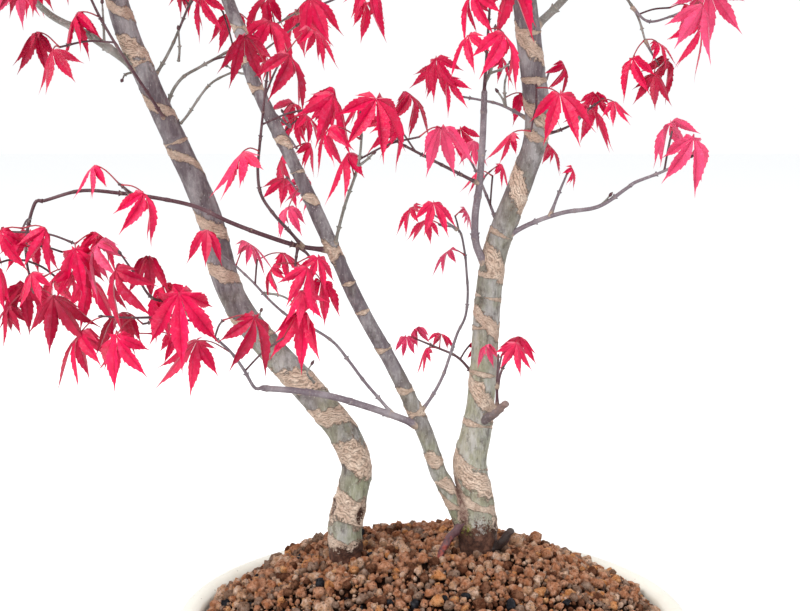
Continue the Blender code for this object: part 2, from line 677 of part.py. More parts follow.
def cut_level(piece, height, collection, name):
    """Cut a piece off flat at a height and close it, keeping what is above."""
    shape = bmesh.new()
    shape.from_mesh(piece.data)
    geometry = shape.verts[:] + shape.edges[:] + shape.faces[:]
    cut = bmesh.ops.bisect_plane(shape, geom=geometry, plane_co=(0, 0, height), plane_no=(0, 0, 1),
                                 clear_inner=True)
    rim = [item for item in cut["geom_cut"] if isinstance(item, bmesh.types.BMEdge)]
    bmesh.ops.edgeloop_fill(shape, edges=rim)
    bmesh.ops.recalc_face_normals(shape, faces=shape.faces)
    bpy.data.objects.remove(piece)
    return link_mesh(name, shape, collection)


def turned(name, profile, steps, collection):
    """A profile turned round the Z axis and squeezed to the pot's oval."""
    shape = bmesh.new()
    corners = [shape.verts.new((far, 0.0, height)) for far, height in profile]
    for start, end in zip(corners, corners[1:]):
        shape.edges.new((start, end))
    piece = link_mesh(name, shape, collection)
    screw = piece.modifiers.new("Screw", "SCREW")
    screw.steps = screw.render_steps = steps
    screw.use_merge_vertices = True
    screw.merge_threshold = AXIS_WELD
    shape = evaluated_shape(piece)
    piece.modifiers.clear()
    bmesh.ops.scale(shape, vec=(1.0, POT_DEPTH / POT_LENGTH, 1.0), verts=shape.verts)
    bmesh.ops.triangulate(shape, faces=shape.faces)
    shape.to_mesh(piece.data)
    shape.free()
    return piece


# The pot and its soil

def arc(centre, radii, start, end, points):
    """Points on part of an oval, between two angles in degrees from +X."""
    turns = [math.radians(start + (end - start) * index / (points - 1)) for index in range(points)]
    return [(centre[0] + radii[0] * math.cos(turn), centre[1] + radii[1] * math.sin(turn)) for turn in turns]


def inner_wall():
    """The radius of the pot's inner wall, along its long axis."""
    return POT_LENGTH / 2 - LIP_WIDTH


def make_pot(collection, look):
    rim = POT_LENGTH / 2
    lip_middle = (rim - LIP_WIDTH / 2, POT_HEIGHT - LIP_THICKNESS / 2)
    body = rim - BODY_INSET
    foot = rim - FOOT_INSET
    inner_foot = foot - WALL - FILLET
    profile = [(0.0, FLOOR), (inner_foot, FLOOR)]
    profile += arc((inner_foot, FLOOR + FILLET), (FILLET, FILLET), *INNER_TURN, 2)
    profile += arc(lip_middle, (LIP_WIDTH / 2, LIP_THICKNESS / 2), *LIP_TURN, LIP_POINTS)
    profile += [(body, POT_HEIGHT - LIP_THICKNESS - LIP_NECK)]
    profile += [(body - (body - foot) * share ** 2, POT_HEIGHT * (BELLY_TOP - BELLY_DROP * share))
                for share in BELLY_SHARES]
    profile += [(foot, FOOT_HEIGHT), (foot - FOOT_STEP, FOOT_HEIGHT - FOOT_BEVEL),
                (foot - FOOT_STEP, 0.0), (0.0, 0.0)]
    pot = turned("pot", profile, POT_STEPS, collection)
    pot.data.materials.append(look)
    return pot


def soil_height(x, y):
    """The height of the soil mound at a point, without its lumps."""
    reach = inner_wall()
    share = (x / reach) ** 2 + (y / (reach * POT_DEPTH / POT_LENGTH)) ** 2
    return SOIL_EDGE + (SOIL_PEAK - SOIL_EDGE) * (1 - min(share, 1.0) ** SOIL_FULLNESS)


def lump(x, y):
    """How far a lump of the soil stands above the mound at a point."""
    return LUMP_HEIGHT * max(0.0, noise.noise(Vector((x, y, 0.0)) / LUMP_CELL))


def make_soil(collection, look):
    """The soil fills the pot, just clear of its wall."""
    edge = inner_wall() - GAP * 1.5
    foot = POT_LENGTH / 2 - FOOT_INSET - WALL - FILLET - GAP * 2
    rings = [edge * index / SOIL_RINGS for index in range(SOIL_RINGS + 1)]
    profile = [(far, soil_height(far, 0)) for far in rings]
    profile += [(foot, FLOOR + GAP), (0.0, FLOOR + GAP)]
    soil = turned("soil", profile, POT_STEPS, collection)
    for vert in soil.data.vertices:
        if vert.co.z > SOIL_EDGE + GAP:
            vert.co.z += lump(vert.co.x, vert.co.y)
    soil.data.materials.append(look)
    return soil


# Stems, boughs and leaf masses

def limb_tube(name, limbs, sides, collection, swell=0.0):
    line, radii = limbs[name]
    return tube(name, line, radii + swell, collection, sides)


def right_foot(limbs, collection, swell=0.0):
    """The right trunk with the wood that grows out of its foot."""
    trunk = limb_tube("right_trunk", limbs, TRUNK_SIDES, collection, swell)
    for name in SPURS:
        spur = limb_tube(name, limbs, BOUGH_SIDES, collection, swell)
        boolean(trunk, "UNION", spur)
        bpy.data.objects.remove(spur)
    return trunk


def make_stems(limbs, soil, parts, cutters, look):
    """The three stems; the two trunks stand in pockets of the soil, cut off flat."""
    for name in ("left_trunk", "right_trunk"):
        line = limbs[name][0]
        ground = soil_height(line[0][0], line[0][1]) - FOOT_SINK
        if name == "right_trunk":
            trunk, pocket = right_foot(limbs, parts), right_foot(limbs, cutters, GAP)
        else:
            trunk, pocket = [limb_tube(name, limbs, TRUNK_SIDES, where, swell)
                             for where, swell in ((parts, 0.0), (cutters, GAP))]
        trunk = cut_level(trunk, ground, parts, name)
        pocket = cut_level(pocket, ground - GAP, cutters, name + "_pocket")
        boolean(soil, "DIFFERENCE", pocket)
        bpy.data.objects.remove(pocket)
        trunk.data.materials.append(look)
    stem = limb_tube("middle_stem", limbs, TRUNK_SIDES, parts)
    stem.data.materials.append(look)


def clear_of(piece, parent, limbs, cutters):
    """Cut a limb or twig back to just clear of the limb it grows from."""
    sides = TRUNK_SIDES if parent in STEMS else BOUGH_SIDES
    cutter = limb_tube(parent, limbs, sides, cutters, GAP)
    boolean(piece, "DIFFERENCE", cutter)
    bpy.data.objects.remove(cutter)


def make_boughs(limbs, parts, cutters, look):
    for name, (parent, route, widths) in BOUGHS.items():
        bough = limb_tube(name, limbs, BOUGH_SIDES, parts)
        clear_of(bough, parent, limbs, cutters)
        bough.data.materials.append(look)


def add_blade(leaf, collection):
    """A two-sided leaf: a flattened ball whose rim is drawn out into lobes."""
    shape = bmesh.new()
    bmesh.ops.create_uvsphere(shape, u_segments=len(RIM), v_segments=2, radius=1.0)
    around = sorted((vert for vert in shape.verts if abs(vert.co.z) < 0.5),
                    key=lambda vert: math.atan2(vert.co.y, vert.co.x))
    for vert in shape.verts:
        if vert not in around:
            vert.co = Vector(leaf.centre + leaf.up * HALF_THICKNESS * (1 if vert.co.z > 0 else -1))
    for vert, point in zip(around, leaf.rim):
        vert.co = Vector(point)
    return link_mesh("blade", shape, collection)


def make_mass(name, limbs, stem, twigs, leaves, parts, cutters, look):
    """One mass: its stem, side twigs, stalks and blades joined into one body."""
    limb, place = MASSES[name][:2]
    mass = tube(name, stem, radii_along(stem, MASS_STEM, stem), parts)
    if place == "side":
        clear_of(mass, limb, limbs, cutters)
    growth = bpy.data.collections.new("growth")
    bpy.context.scene.collection.children.link(growth)
    for start, end in twigs:
        tube("twig", (start, end), (TWIG_RADIUS, TWIG_RADIUS), growth)
    for leaf in leaves:
        end = leaf.centre + (leaf.rim[-1] - leaf.centre) * STALK_SETBACK
        tube("stalk", (leaf.node, end), (STALK_RADIUS, STALK_TIP_RADIUS), growth)
        add_blade(leaf, growth)
    boolean(mass, "UNION", growth, "MANIFOLD")
    for piece in list(growth.objects):
        bpy.data.objects.remove(piece)
    bpy.data.collections.remove(growth)
    mass.data.materials.append(look)


def make_masses(limbs, parts, cutters, look):
    """Grow every mass in turn, each clear of the limbs and of what grew before it."""
    room = Room()
    for name, (line, radii) in limbs.items():
        room.add_line(name, line, radii)
    stems = {name: mass_stem(name, limbs) for name in MASSES}
    for name, stem in stems.items():
        room.add_line(name, stem, radii_along(stem, MASS_STEM, stem))
    for name, stem in stems.items():
        twigs, leaves = grow(name, stem, room)
        make_mass(name, limbs, stem, twigs, leaves, parts, cutters, look)


def main():
    for piece in list(bpy.data.objects):
        bpy.data.objects.remove(piece)
    parts = bpy.data.collections.new("potted_red_maple")
    cutters = bpy.data.collections.new("cutters")
    for collection in (parts, cutters):
        bpy.context.scene.collection.children.link(collection)
    add_twig_section(cutters)

    glaze = material("cream_glaze", *GLAZE)
    grains = material("soil_grains", *GRAINS)
    bark = material("grey_green_bark", *BARK)
    shoots = material("purple_shoot_bark", *SHOOT_BARK)
    leaf_red = material("crimson_leaf", *LEAF_RED)

    limbs = limb_lines()
    make_pot(parts, glaze)
    soil = make_soil(parts, grains)
    make_stems(limbs, soil, parts, cutters, bark)
    make_boughs(limbs, parts, cutters, shoots)
    make_masses(limbs, parts, cutters, leaf_red)
    for piece in parts.objects:
        piece.data.shade_flat()
    bpy.data.objects.remove(bpy.data.objects[TWIG_SECTION])
    bpy.data.collections.remove(cutters)


main()
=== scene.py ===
"""The looks of a potted bonsai maple: bark, twigs, crimson leaves, soil grains and a glazed pot.

Metres, +Z up. -Y is the front of the tree and +X runs along the pot's long axis.
"""
import math
import random

import bmesh
import bpy
import numpy as np
from mathutils import Euler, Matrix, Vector, noise


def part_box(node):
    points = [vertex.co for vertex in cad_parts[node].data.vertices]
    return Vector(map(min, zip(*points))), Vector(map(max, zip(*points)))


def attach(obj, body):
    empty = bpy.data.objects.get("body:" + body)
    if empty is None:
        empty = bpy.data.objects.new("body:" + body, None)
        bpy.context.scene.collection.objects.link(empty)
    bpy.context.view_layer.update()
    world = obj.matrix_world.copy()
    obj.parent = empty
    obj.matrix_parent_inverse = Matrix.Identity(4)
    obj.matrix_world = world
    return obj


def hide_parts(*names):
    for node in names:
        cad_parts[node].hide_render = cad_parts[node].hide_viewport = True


bl_info = {
    "name": "Potted Bonsai Maple",
    "version": (1, 0, 0),
    "blender": (4, 5, 0),
    "location": "3D View > Sidebar > Bonsai Maple",
    "description": "Dresses the packed bonsai maple with bark, twigs, leaves, soil and glaze",
    "category": "Add Mesh",
}

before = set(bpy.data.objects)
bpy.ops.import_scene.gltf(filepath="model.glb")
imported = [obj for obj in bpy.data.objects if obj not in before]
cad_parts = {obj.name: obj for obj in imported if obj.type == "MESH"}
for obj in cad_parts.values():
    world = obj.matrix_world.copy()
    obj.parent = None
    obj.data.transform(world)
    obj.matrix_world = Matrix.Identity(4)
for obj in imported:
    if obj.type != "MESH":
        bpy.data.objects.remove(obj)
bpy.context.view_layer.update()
POT_LOW, POT_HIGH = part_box("pot")
BODY = "root"

GAP = 0.0003
LIMB_STEP = 0.017
TWIG_STEP = 0.012
CURVE_STEPS = 12

# Stems: the points of the middle line from the soil to the tip, and the diameter at each.
STEMS = {
    "left_trunk": (
        ((-0.044, 0, 0.070), (-0.045, 0, 0.107), (-0.039, 0.001, 0.131), (-0.045, 0.002, 0.151),
         (-0.064, 0.004, 0.175), (-0.087, 0.005, 0.201), (-0.103, 0.006, 0.226), (-0.113, 0.005, 0.266),
         (-0.132, 0.002, 0.312), (-0.145, -0.002, 0.345), (-0.151, -0.006, 0.367), (-0.157, -0.010, 0.405),
         (-0.150, -0.008, 0.445), (-0.156, -0.002, 0.485), (-0.150, 0.002, 0.520)),
        (0.0182, 0.0172, 0.015, 0.0155, 0.015, 0.0135, 0.0132, 0.0126, 0.0108, 0.011, 0.0105, 0.0095,
         0.0075, 0.0055, 0.003)),
    "right_trunk": (
        ((0.024, 0.002, 0.070), (0.023, 0.002, 0.109), (0.019, 0.003, 0.135), (0.022, 0.004, 0.153),
         (0.025, 0.005, 0.177), (0.027, 0.006, 0.216), (0.031, 0.006, 0.246), (0.044, 0.003, 0.284),
         (0.050, 0, 0.308), (0.046, -0.003, 0.339), (0.042, -0.005, 0.367), (0.036, -0.004, 0.408),
         (0.045, 0.002, 0.450), (0.038, 0.006, 0.492), (0.044, 0.004, 0.530)),
        (0.0215, 0.019, 0.017, 0.0155, 0.0135, 0.013, 0.0125, 0.0115, 0.012, 0.012, 0.0115, 0.010,
         0.008, 0.0055, 0.003)),
    "middle_stem": (
        ((0.004, -0.002, 0.130), (-0.001, -0.004, 0.146), (-0.018, -0.008, 0.185), (-0.036, -0.010, 0.219),
         (-0.049, -0.010, 0.247), (-0.066, -0.008, 0.285), (-0.088, -0.004, 0.331), (-0.093, 0, 0.351),
         (-0.100, 0.004, 0.368), (-0.108, 0.008, 0.402), (-0.098, 0.006, 0.436), (-0.092, 0, 0.462)),
        (0.0086, 0.0082, 0.0076, 0.007, 0.007, 0.0065, 0.006, 0.006, 0.0058, 0.005, 0.004, 0.0024)),
}

# What grows out of the foot of the right trunk and is one piece of wood with it.
SPURS = {
    "fork": (((0.022, 0.001, 0.086), (0.016, 0, 0.106), (0.009, -0.001, 0.120), (0.004, -0.002, 0.130)),
             (0.012, 0.010, 0.0092, 0.0086)),
    "root": (((0.020, 0, 0.110), (0.009, -0.006, 0.100), (0.003, -0.010, 0.090), (0.000, -0.012, 0.080)),
             (0.007, 0.0055, 0.005, 0.004)),
    "base_stub": (((0.028, 0, 0.090), (0.035, -0.006, 0.093), (0.039, -0.009, 0.098)),
                  (0.007, 0.006, 0.0045)),
    "cut_stub": (((0.023, 0.004, 0.157), (0.028, -0.006, 0.163), (0.035, -0.014, 0.172)),
                 (0.005, 0.004, 0.0038)),
}

# Boughs: the stem each grows from, its middle line from inside that stem, and the
# diameters at its root and tip.
BOUGHS = {
    "low_left_bough": (
        "middle_stem",
        ((-0.006, -0.005, 0.158), (-0.019, -0.012, 0.165), (-0.039, -0.020, 0.174),
         (-0.058, -0.024, 0.180), (-0.083, -0.030, 0.184)),
        (0.0044, 0.0034)),
    "left_shoot": (
        "middle_stem",
        ((-0.049, -0.010, 0.248), (-0.066, -0.016, 0.251), (-0.093, -0.022, 0.261),
         (-0.116, -0.028, 0.272), (-0.148, -0.034, 0.278), (-0.169, -0.038, 0.279),
         (-0.180, -0.042, 0.275)),
        (0.0028, 0.0018)),
    "side_stem": (
        "right_trunk",
        ((0.030, 0.006, 0.235), (0.021, 0.002, 0.249), (0.020, -0.002, 0.265),
         (0.022, -0.004, 0.282), (0.023, -0.008, 0.308), (0.023, -0.013, 0.324)),
        (0.0046, 0.0034)),
    "right_bough": (
        "right_trunk",
        ((0.032, 0.006, 0.251), (0.055, -0.004, 0.264), (0.079, -0.014, 0.270),
         (0.092, -0.020, 0.280)),
        (0.0030, 0.0020)),
    "upper_left_bough": (
        "left_trunk",
        ((-0.141, -0.001, 0.332), (-0.151, -0.006, 0.341), (-0.158, -0.014, 0.348),
         (-0.180, -0.020, 0.360), (-0.202, -0.024, 0.385)),
        (0.0054, 0.0024)),
    "left_back_bough": (
        "left_trunk",
        ((-0.156, -0.009, 0.396), (-0.170, 0.015, 0.416), (-0.188, 0.042, 0.436)),
        (0.0046, 0.0022)),
    "left_front_bough": (
        "left_trunk",
        ((-0.151, -0.008, 0.438), (-0.158, -0.028, 0.452), (-0.164, -0.056, 0.468)),
        (0.0042, 0.0022)),
    "middle_back_bough": (
        "middle_stem",
        ((-0.104, 0.007, 0.386), (-0.094, 0.030, 0.408), (-0.082, 0.058, 0.426)),
        (0.0036, 0.0020)),
    "middle_front_bough": (
        "middle_stem",
        ((-0.100, 0.006, 0.428), (-0.086, -0.014, 0.440), (-0.072, -0.046, 0.452)),
        (0.0032, 0.0020)),
    "right_inner_bough": (
        "right_trunk",
        ((0.037, -0.004, 0.400), (0.012, -0.006, 0.424), (-0.014, -0.010, 0.446)),
        (0.0046, 0.0022)),
    "upper_right_bough": (
        "right_trunk",
        ((0.044, -0.004, 0.352), (0.056, 0.006, 0.362), (0.080, 0.016, 0.384),
         (0.112, 0.018, 0.404), (0.140, 0.014, 0.424)),
        (0.0048, 0.0022)),
    "right_front_bough": (
        "right_trunk",
        ((0.038, -0.003, 0.422), (0.062, -0.024, 0.440), (0.088, -0.052, 0.454)),
        (0.0044, 0.0022)),
    "right_back_bough": (
        "right_trunk",
        ((0.043, 0.001, 0.438), (0.050, 0.028, 0.456), (0.058, 0.058, 0.474)),
        (0.0042, 0.0022)),
    "top_right_bough": (
        "right_trunk",
        ((0.040, 0.005, 0.476), (0.066, 0.010, 0.494), (0.094, 0.012, 0.508)),
        (0.0038, 0.0020)),
}

# Leaf masses: the limb each hangs on, "tip" or "side", the middle line of its one stem (a tip
# stem's own foot is left out), its leaf length, how far its space reaches from the stem's
# leafy end, and one seed for each leafy node, counted down from the stem's tip.
MASSES = {
    "low_left_leaves": ("low_left_bough", "tip", ((-0.095, -0.042, 0.203), (-0.108, -0.055, 0.220),
         (-0.116, -0.060, 0.232)),
        0.035, 0.062, (94, 43, 156, 339, 52)),
    "inner_left_leaves": ("low_left_bough", "side", ((-0.019, -0.013, 0.167), (-0.035, -0.018, 0.185),
         (-0.051, -0.020, 0.206), (-0.073, -0.018, 0.218), (-0.088, -0.016, 0.233),
         (-0.106, -0.014, 0.250)),
        0.026, 0.060, (185, 53, 32)),
    "hanging_leaves": ("left_shoot", "side", ((-0.066, -0.016, 0.251), (-0.066, -0.024, 0.249),
         (-0.066, -0.032, 0.246), (-0.066, -0.038, 0.241)),
        0.026, 0.045, (104,)),
    "left_shoot_leaves": ("left_shoot", "side", ((-0.142, -0.033, 0.277), (-0.143, -0.042, 0.281),
         (-0.143, -0.050, 0.283)),
        0.026, 0.045, (164,)),
    "far_left_leaves": ("left_shoot", "tip", ((-0.186, -0.046, 0.266), (-0.187, -0.050, 0.252),
         (-0.184, -0.052, 0.236)),
        0.030, 0.060, (150, 270, 432)),
    "middle_left_leaves": ("left_shoot", "side", ((-0.064, -0.015, 0.251), (-0.069, -0.022, 0.258),
         (-0.082, -0.034, 0.279), (-0.079, -0.046, 0.310), (-0.075, -0.054, 0.334)),
        0.034, 0.062, (438, 400, 195, 79)),
    "middle_front_leaves": ("middle_stem", "side", ((-0.049, -0.010, 0.248), (-0.045, -0.018, 0.265),
         (-0.041, -0.030, 0.277), (-0.036, -0.046, 0.291), (-0.034, -0.058, 0.304),
         (-0.034, -0.066, 0.314)),
        0.033, 0.062, (190, 98, 412, 116)),
    "middle_rear_leaves": ("middle_stem", "side", ((-0.076, -0.005, 0.301), (-0.076, 0.010, 0.304),
         (-0.074, 0.024, 0.302), (-0.071, 0.036, 0.296)),
        0.024, 0.045, (183, 415, 72)),
    "side_stem_leaves": ("side_stem", "tip", ((0.023, -0.024, 0.338), (0.023, -0.032, 0.350),
         (0.023, -0.042, 0.362)),
        0.031, 0.060, (368, 330, 109)),
    "front_stem_leaves": ("side_stem", "side", ((0.020, -0.004, 0.280), (0.001, -0.020, 0.291),
         (-0.017, -0.038, 0.301), (-0.024, -0.050, 0.306)),
        0.028, 0.050, (364, 222, 382)),
    "right_leaves": ("right_bough", "tip", ((0.110, -0.026, 0.289), (0.118, -0.028, 0.294)),
        0.026, 0.050, (403, 40)),
    "right_twig_leaves": ("right_bough", "side", ((0.056, -0.004, 0.265), (0.060, -0.002, 0.273),
         (0.065, 0.002, 0.284)),
        0.015, 0.028, (433,)),
    "hanging_right_leaves": ("upper_right_bough", "side", ((0.080, 0.016, 0.384),
         (0.099, 0.024, 0.366), (0.106, 0.026, 0.350)),
        0.024, 0.048, (399, 68, 180)),
    "inner_leaves": ("middle_stem", "side", ((-0.005, -0.004, 0.165), (0.003, 0, 0.179),
         (0.012, 0.010, 0.202), (0.018, 0.022, 0.215), (0.016, 0.022, 0.245), (0.012, 0.018, 0.256),
         (0.004, 0.012, 0.258)),
        0.019, 0.042, (388, 383, 147)),
    "low_inner_leaves": ("right_trunk", "side", ((0.024, 0.005, 0.175), (0.015, 0.018, 0.187),
         (0, 0.026, 0.193), (-0.008, 0.028, 0.196)),
        0.016, 0.036, (121, 53, 67)),
    "stub_leaves": ("cut_stub", "side", ((0.031, -0.010, 0.168), (0.031, -0.013, 0.180),
         (0.031, -0.018, 0.196)),
        0.018, 0.032, (359, 400)),
    "rear_trunk_leaves": ("right_trunk", "side", ((0.034, 0.007, 0.254), (0.028, 0.022, 0.270),
         (0.020, 0.028, 0.288), (0.012, 0.030, 0.300)),
        0.022, 0.046, (321, 284, 95, 315)),
    "trunk_left_leaves": ("right_trunk", "side", ((0.042, 0.002, 0.309), (0.035, 0.008, 0.317),
         (0.024, 0.016, 0.320), (0.013, 0.022, 0.322)),
        0.024, 0.044, (152, 2, 424)),
    "trunk_front_leaves": ("right_trunk", "side", ((0.048, -0.008, 0.309), (0.047, -0.020, 0.318),
         (0.046, -0.027, 0.326)),
        0.026, 0.040, (420, 315)),
    "trunk_right_leaves": ("right_trunk", "side", ((0.054, -0.002, 0.303), (0.061, -0.008, 0.306),
         (0.066, -0.012, 0.309)),
        0.028, 0.045, (157,)),
    "trunk_rear_leaves": ("right_trunk", "side", ((0.049, 0, 0.318), (0.054, 0.014, 0.326),
         (0.058, 0.024, 0.334)),
        0.023, 0.040, (292, 210)),
    "left_trunk_leaves": ("left_trunk", "side", ((-0.129, 0.002, 0.310), (-0.128, 0.005, 0.326),
         (-0.118, 0.014, 0.335), (-0.102, 0.026, 0.345), (-0.071, 0.044, 0.364)),
        0.030, 0.060, (262, 75, 9, 284, 277)),
    "left_up_leaves": ("left_trunk", "side", ((-0.138, 0, 0.328), (-0.131, 0.010, 0.342),
         (-0.124, 0.018, 0.360), (-0.118, 0.026, 0.378)),
        0.028, 0.050, (326, 108, 87)),
    "left_twig_leaves": ("left_trunk", "side", ((-0.130, -0.004, 0.308), (-0.135, -0.016, 0.322),
         (-0.143, -0.024, 0.337), (-0.153, -0.034, 0.358), (-0.160, -0.044, 0.380)),
        0.030, 0.055, (3, 434, 20, 71)),
    "left_side_leaves": ("upper_left_bough", "tip", ((-0.214, -0.028, 0.398), (-0.224, -0.030, 0.410),
         (-0.230, -0.032, 0.424)),
        0.032, 0.062, (1, 152, 5)),
    "left_rear_leaves": ("left_back_bough", "tip", ((-0.194, 0.054, 0.446), (-0.200, 0.066, 0.458),
         (-0.204, 0.078, 0.470)),
        0.032, 0.062, (1, 28, 22)),
    "left_front_leaves": ("left_front_bough", "tip", ((-0.163, -0.070, 0.474), (-0.160, -0.084, 0.480),
         (-0.156, -0.098, 0.484)),
        0.032, 0.062, (1, 1, 7)),
    "left_top_leaves": ("left_trunk", "tip", ((-0.149, 0.003, 0.534), (-0.146, 0.004, 0.548),
         (-0.142, 0.006, 0.560)),
        0.030, 0.060, (1, 19, 35)),
    "middle_rear_top_leaves": ("middle_back_bough", "tip", ((-0.077, 0.070, 0.434),
         (-0.072, 0.082, 0.442), (-0.068, 0.094, 0.452)),
        0.032, 0.060, (1, 1, 2)),
    "middle_front_top_leaves": ("middle_front_bough", "tip", ((-0.068, -0.060, 0.454),
         (-0.064, -0.074, 0.454), (-0.060, -0.088, 0.450)),
        0.032, 0.060, (1, 1, 31)),
    "middle_top_leaves": ("middle_stem", "tip", ((-0.090, -0.002, 0.476), (-0.088, -0.004, 0.490),
         (-0.084, -0.004, 0.504)),
        0.030, 0.058, (1, 16, 69)),
    "inner_top_leaves": ("right_inner_bough", "tip", ((-0.024, -0.012, 0.458), (-0.032, -0.014, 0.470),
         (-0.038, -0.014, 0.484)),
        0.031, 0.060, (15, 15, 9)),
    "upper_right_leaves": ("upper_right_bough", "tip", ((0.154, 0.012, 0.432), (0.166, 0.010, 0.438),
         (0.178, 0.008, 0.442)),
        0.032, 0.060, (1, 1, 7)),
    "right_front_leaves": ("right_front_bough", "tip", ((0.098, -0.064, 0.458), (0.106, -0.076, 0.462),
         (0.112, -0.088, 0.464)),
        0.032, 0.060, (1, 1, 94)),
    "right_rear_leaves": ("right_back_bough", "tip", ((0.062, 0.070, 0.482), (0.064, 0.084, 0.490),
         (0.066, 0.096, 0.498)),
        0.032, 0.060, (1, 1, 149)),
    "right_top_leaves": ("right_trunk", "tip", ((0.046, 0.003, 0.544), (0.046, 0.002, 0.556),
         (0.044, 0.002, 0.568)),
        0.030, 0.060, (1, 4, 149)),
    "top_right_leaves": ("top_right_bough", "tip", ((0.108, 0.012, 0.514), (0.120, 0.012, 0.520),
         (0.132, 0.012, 0.524)),
        0.031, 0.060, (1, 1, 7)),
}
MASS_STEM = (0.0020, 0.0012)
STRAIGHT_FOOT = 0.004

# Nodes: leafy places down a stem, each with a pair of leaves or of side twigs that carry two.
NODE_SPACING = 0.013
NODE_ROLL = 0.6
BARE_FOOT = 0.012
HEADING_STEP = 0.002
STEEP = 0.9
SHOOT_LEAN = (0.2, 0.7)
TWIG_SHARE = 0.45
TWIG_RISE = 0.2
TWIG_LENGTH = (0.5, 0.9)
TWIG_RADIUS = 0.0006
TWIG_LEAF = 0.92
PAIR_LEAN = (0.3, 0.9)

# Stalks
STALK_RADIUS = 0.00045
STALK_TIP_RADIUS = 0.0002
STALK_SETBACK = 0.25
STALK_SHARE = (0.35, 0.55)
STALK_RISE = (-0.1, 0.6)

# The room that growth takes up and keeps clear of other growth.
CLEAR = 0.0009
LEAF_CLEAR = 0.0022
STALK_ROOM = 0.0005
LOBE_ROOM = 0.055
ROOM_START = 0.35
TWIG_START = 0.2
SEARCH_REACH = 0.065
SPACE_DROP = 0.2
TINY = 1e-18

# A blade: the rim of a five-lobed leaf, as an angle from the middle lobe and a share of the
# leaf's length, and half of its thickness in the middle.
LOBES = ((0, 1.0), (38, 0.94), (-38, 0.94), (76, 0.70), (-76, 0.70))
NOTCHES = ((19, 0.34), (-19, 0.34), (57, 0.31), (-57, 0.31))
HEEL = ((180, 0.12),)
RIM = sorted(LOBES + NOTCHES + HEEL)
HALF_THICKNESS = 0.0005
LEVEL_LIMIT = 0.05
BLADE_TURN = 0.5
BLADE_FALL = (38, 84)
BLADE_ROLL = 0.5
BLADE_SIZE = (0.72, 1.06)
LOBE_DROOP = (10, 36)
LOBE_BEND = (0.5, 0.9)
QUARTER = 90

UP = np.array((0.0, 0.0, 1.0))


# Lines

def unit(vector):
    vector = np.asarray(vector, float)
    return vector / np.linalg.norm(vector)


def lengths(line):
    """How far along the line each of its points is."""
    return np.concatenate(([0.0], np.cumsum(np.linalg.norm(np.diff(line, axis=0), axis=1))))


def smooth(points, step):
    """An even line of points on a smooth curve through the given ones."""
    points = [np.array(point, float) for point in points]
    ends = [2 * points[0] - points[1]] + points + [2 * points[-1] - points[-2]]
    fine = []
    for a, b, c, d in zip(ends, ends[1:], ends[2:], ends[3:]):
        for t in np.arange(CURVE_STEPS) / CURVE_STEPS:
            fine.append(0.5 * (2 * b + (c - a) * t + (2 * a - 5 * b + 4 * c - d) * t ** 2
                               + (3 * b - a - 3 * c + d) * t ** 3))
    fine = np.array(fine + [points[-1]])
    along = lengths(fine)
    stops = np.linspace(0, along[-1], max(2, round(along[-1] / step)) + 1)
    return np.stack([np.interp(stops, along, fine[:, axis]) for axis in range(3)], 1)


def radii_along(route, widths, line):
    """The radius at each point of a line, from widths given along its route."""
    route_share = lengths(np.array(route)) / lengths(np.array(route))[-1]
    width_share = route_share if len(widths) == len(route) else np.linspace(0, 1, len(widths))
    return np.interp(lengths(line) / lengths(line)[-1], width_share, widths) / 2


def nearest_on(line, point):
    """The point of a line that is nearest to another point."""
    starts, steps = line[:-1], np.diff(line, axis=0)
    share = np.clip(((point - starts) * steps).sum(1) / (steps * steps).sum(1), 0, 1)
    spots = starts + steps * share[:, None]
    return spots[np.argmin(np.linalg.norm(spots - point, axis=1))]


def straight_on(line, route, step):
    """A line that carries on from another's end, at first straight ahead and just clear of it."""
    ahead = unit(line[-1] - line[-2])
    return np.vstack((line[-1] + ahead * GAP, smooth((line[-1] + ahead * STRAIGHT_FOOT, *route), step)))


def limb_lines():
    """The middle line and the radii of every stem, spur and bough."""
    lines = {}
    for name, (route, widths) in {**SPURS, **STEMS}.items():
        if name == "middle_stem":
            line = straight_on(lines["fork"][0], route[1:], LIMB_STEP)
        else:
            line = smooth(route, LIMB_STEP)
        lines[name] = (line, radii_along(route, widths, line))
    for name, (parent, route, widths) in BOUGHS.items():
        line = smooth((nearest_on(lines[parent][0], route[0]), *route[1:]), LIMB_STEP)
        lines[name] = (line, radii_along(line, widths, line))
    return lines


def mass_stem(name, limbs):
    """The middle line of a mass's stem, which at a limb's tip starts just clear of it."""
    limb, place, route = MASSES[name][:3]
    line = limbs[limb][0]
    if place == "tip":
        return straight_on(line, route, TWIG_STEP)
    return smooth((nearest_on(line, route[0]), *route[1:]), TWIG_STEP)


def nodes_on(line, count):
    """The place and heading of each leafy node, from the tip down."""
    along = lengths(line)
    nodes = []
    for index in range(count):
        stop = along[-1] - index * NODE_SPACING
        if stop <= BARE_FOOT:
            break
        place, before = [np.array([np.interp(at, along, line[:, axis]) for axis in range(3)])
                         for at in (stop, stop - HEADING_STEP)]
        nodes.append((place, unit(place - before)))
    return nodes


# The growth rule

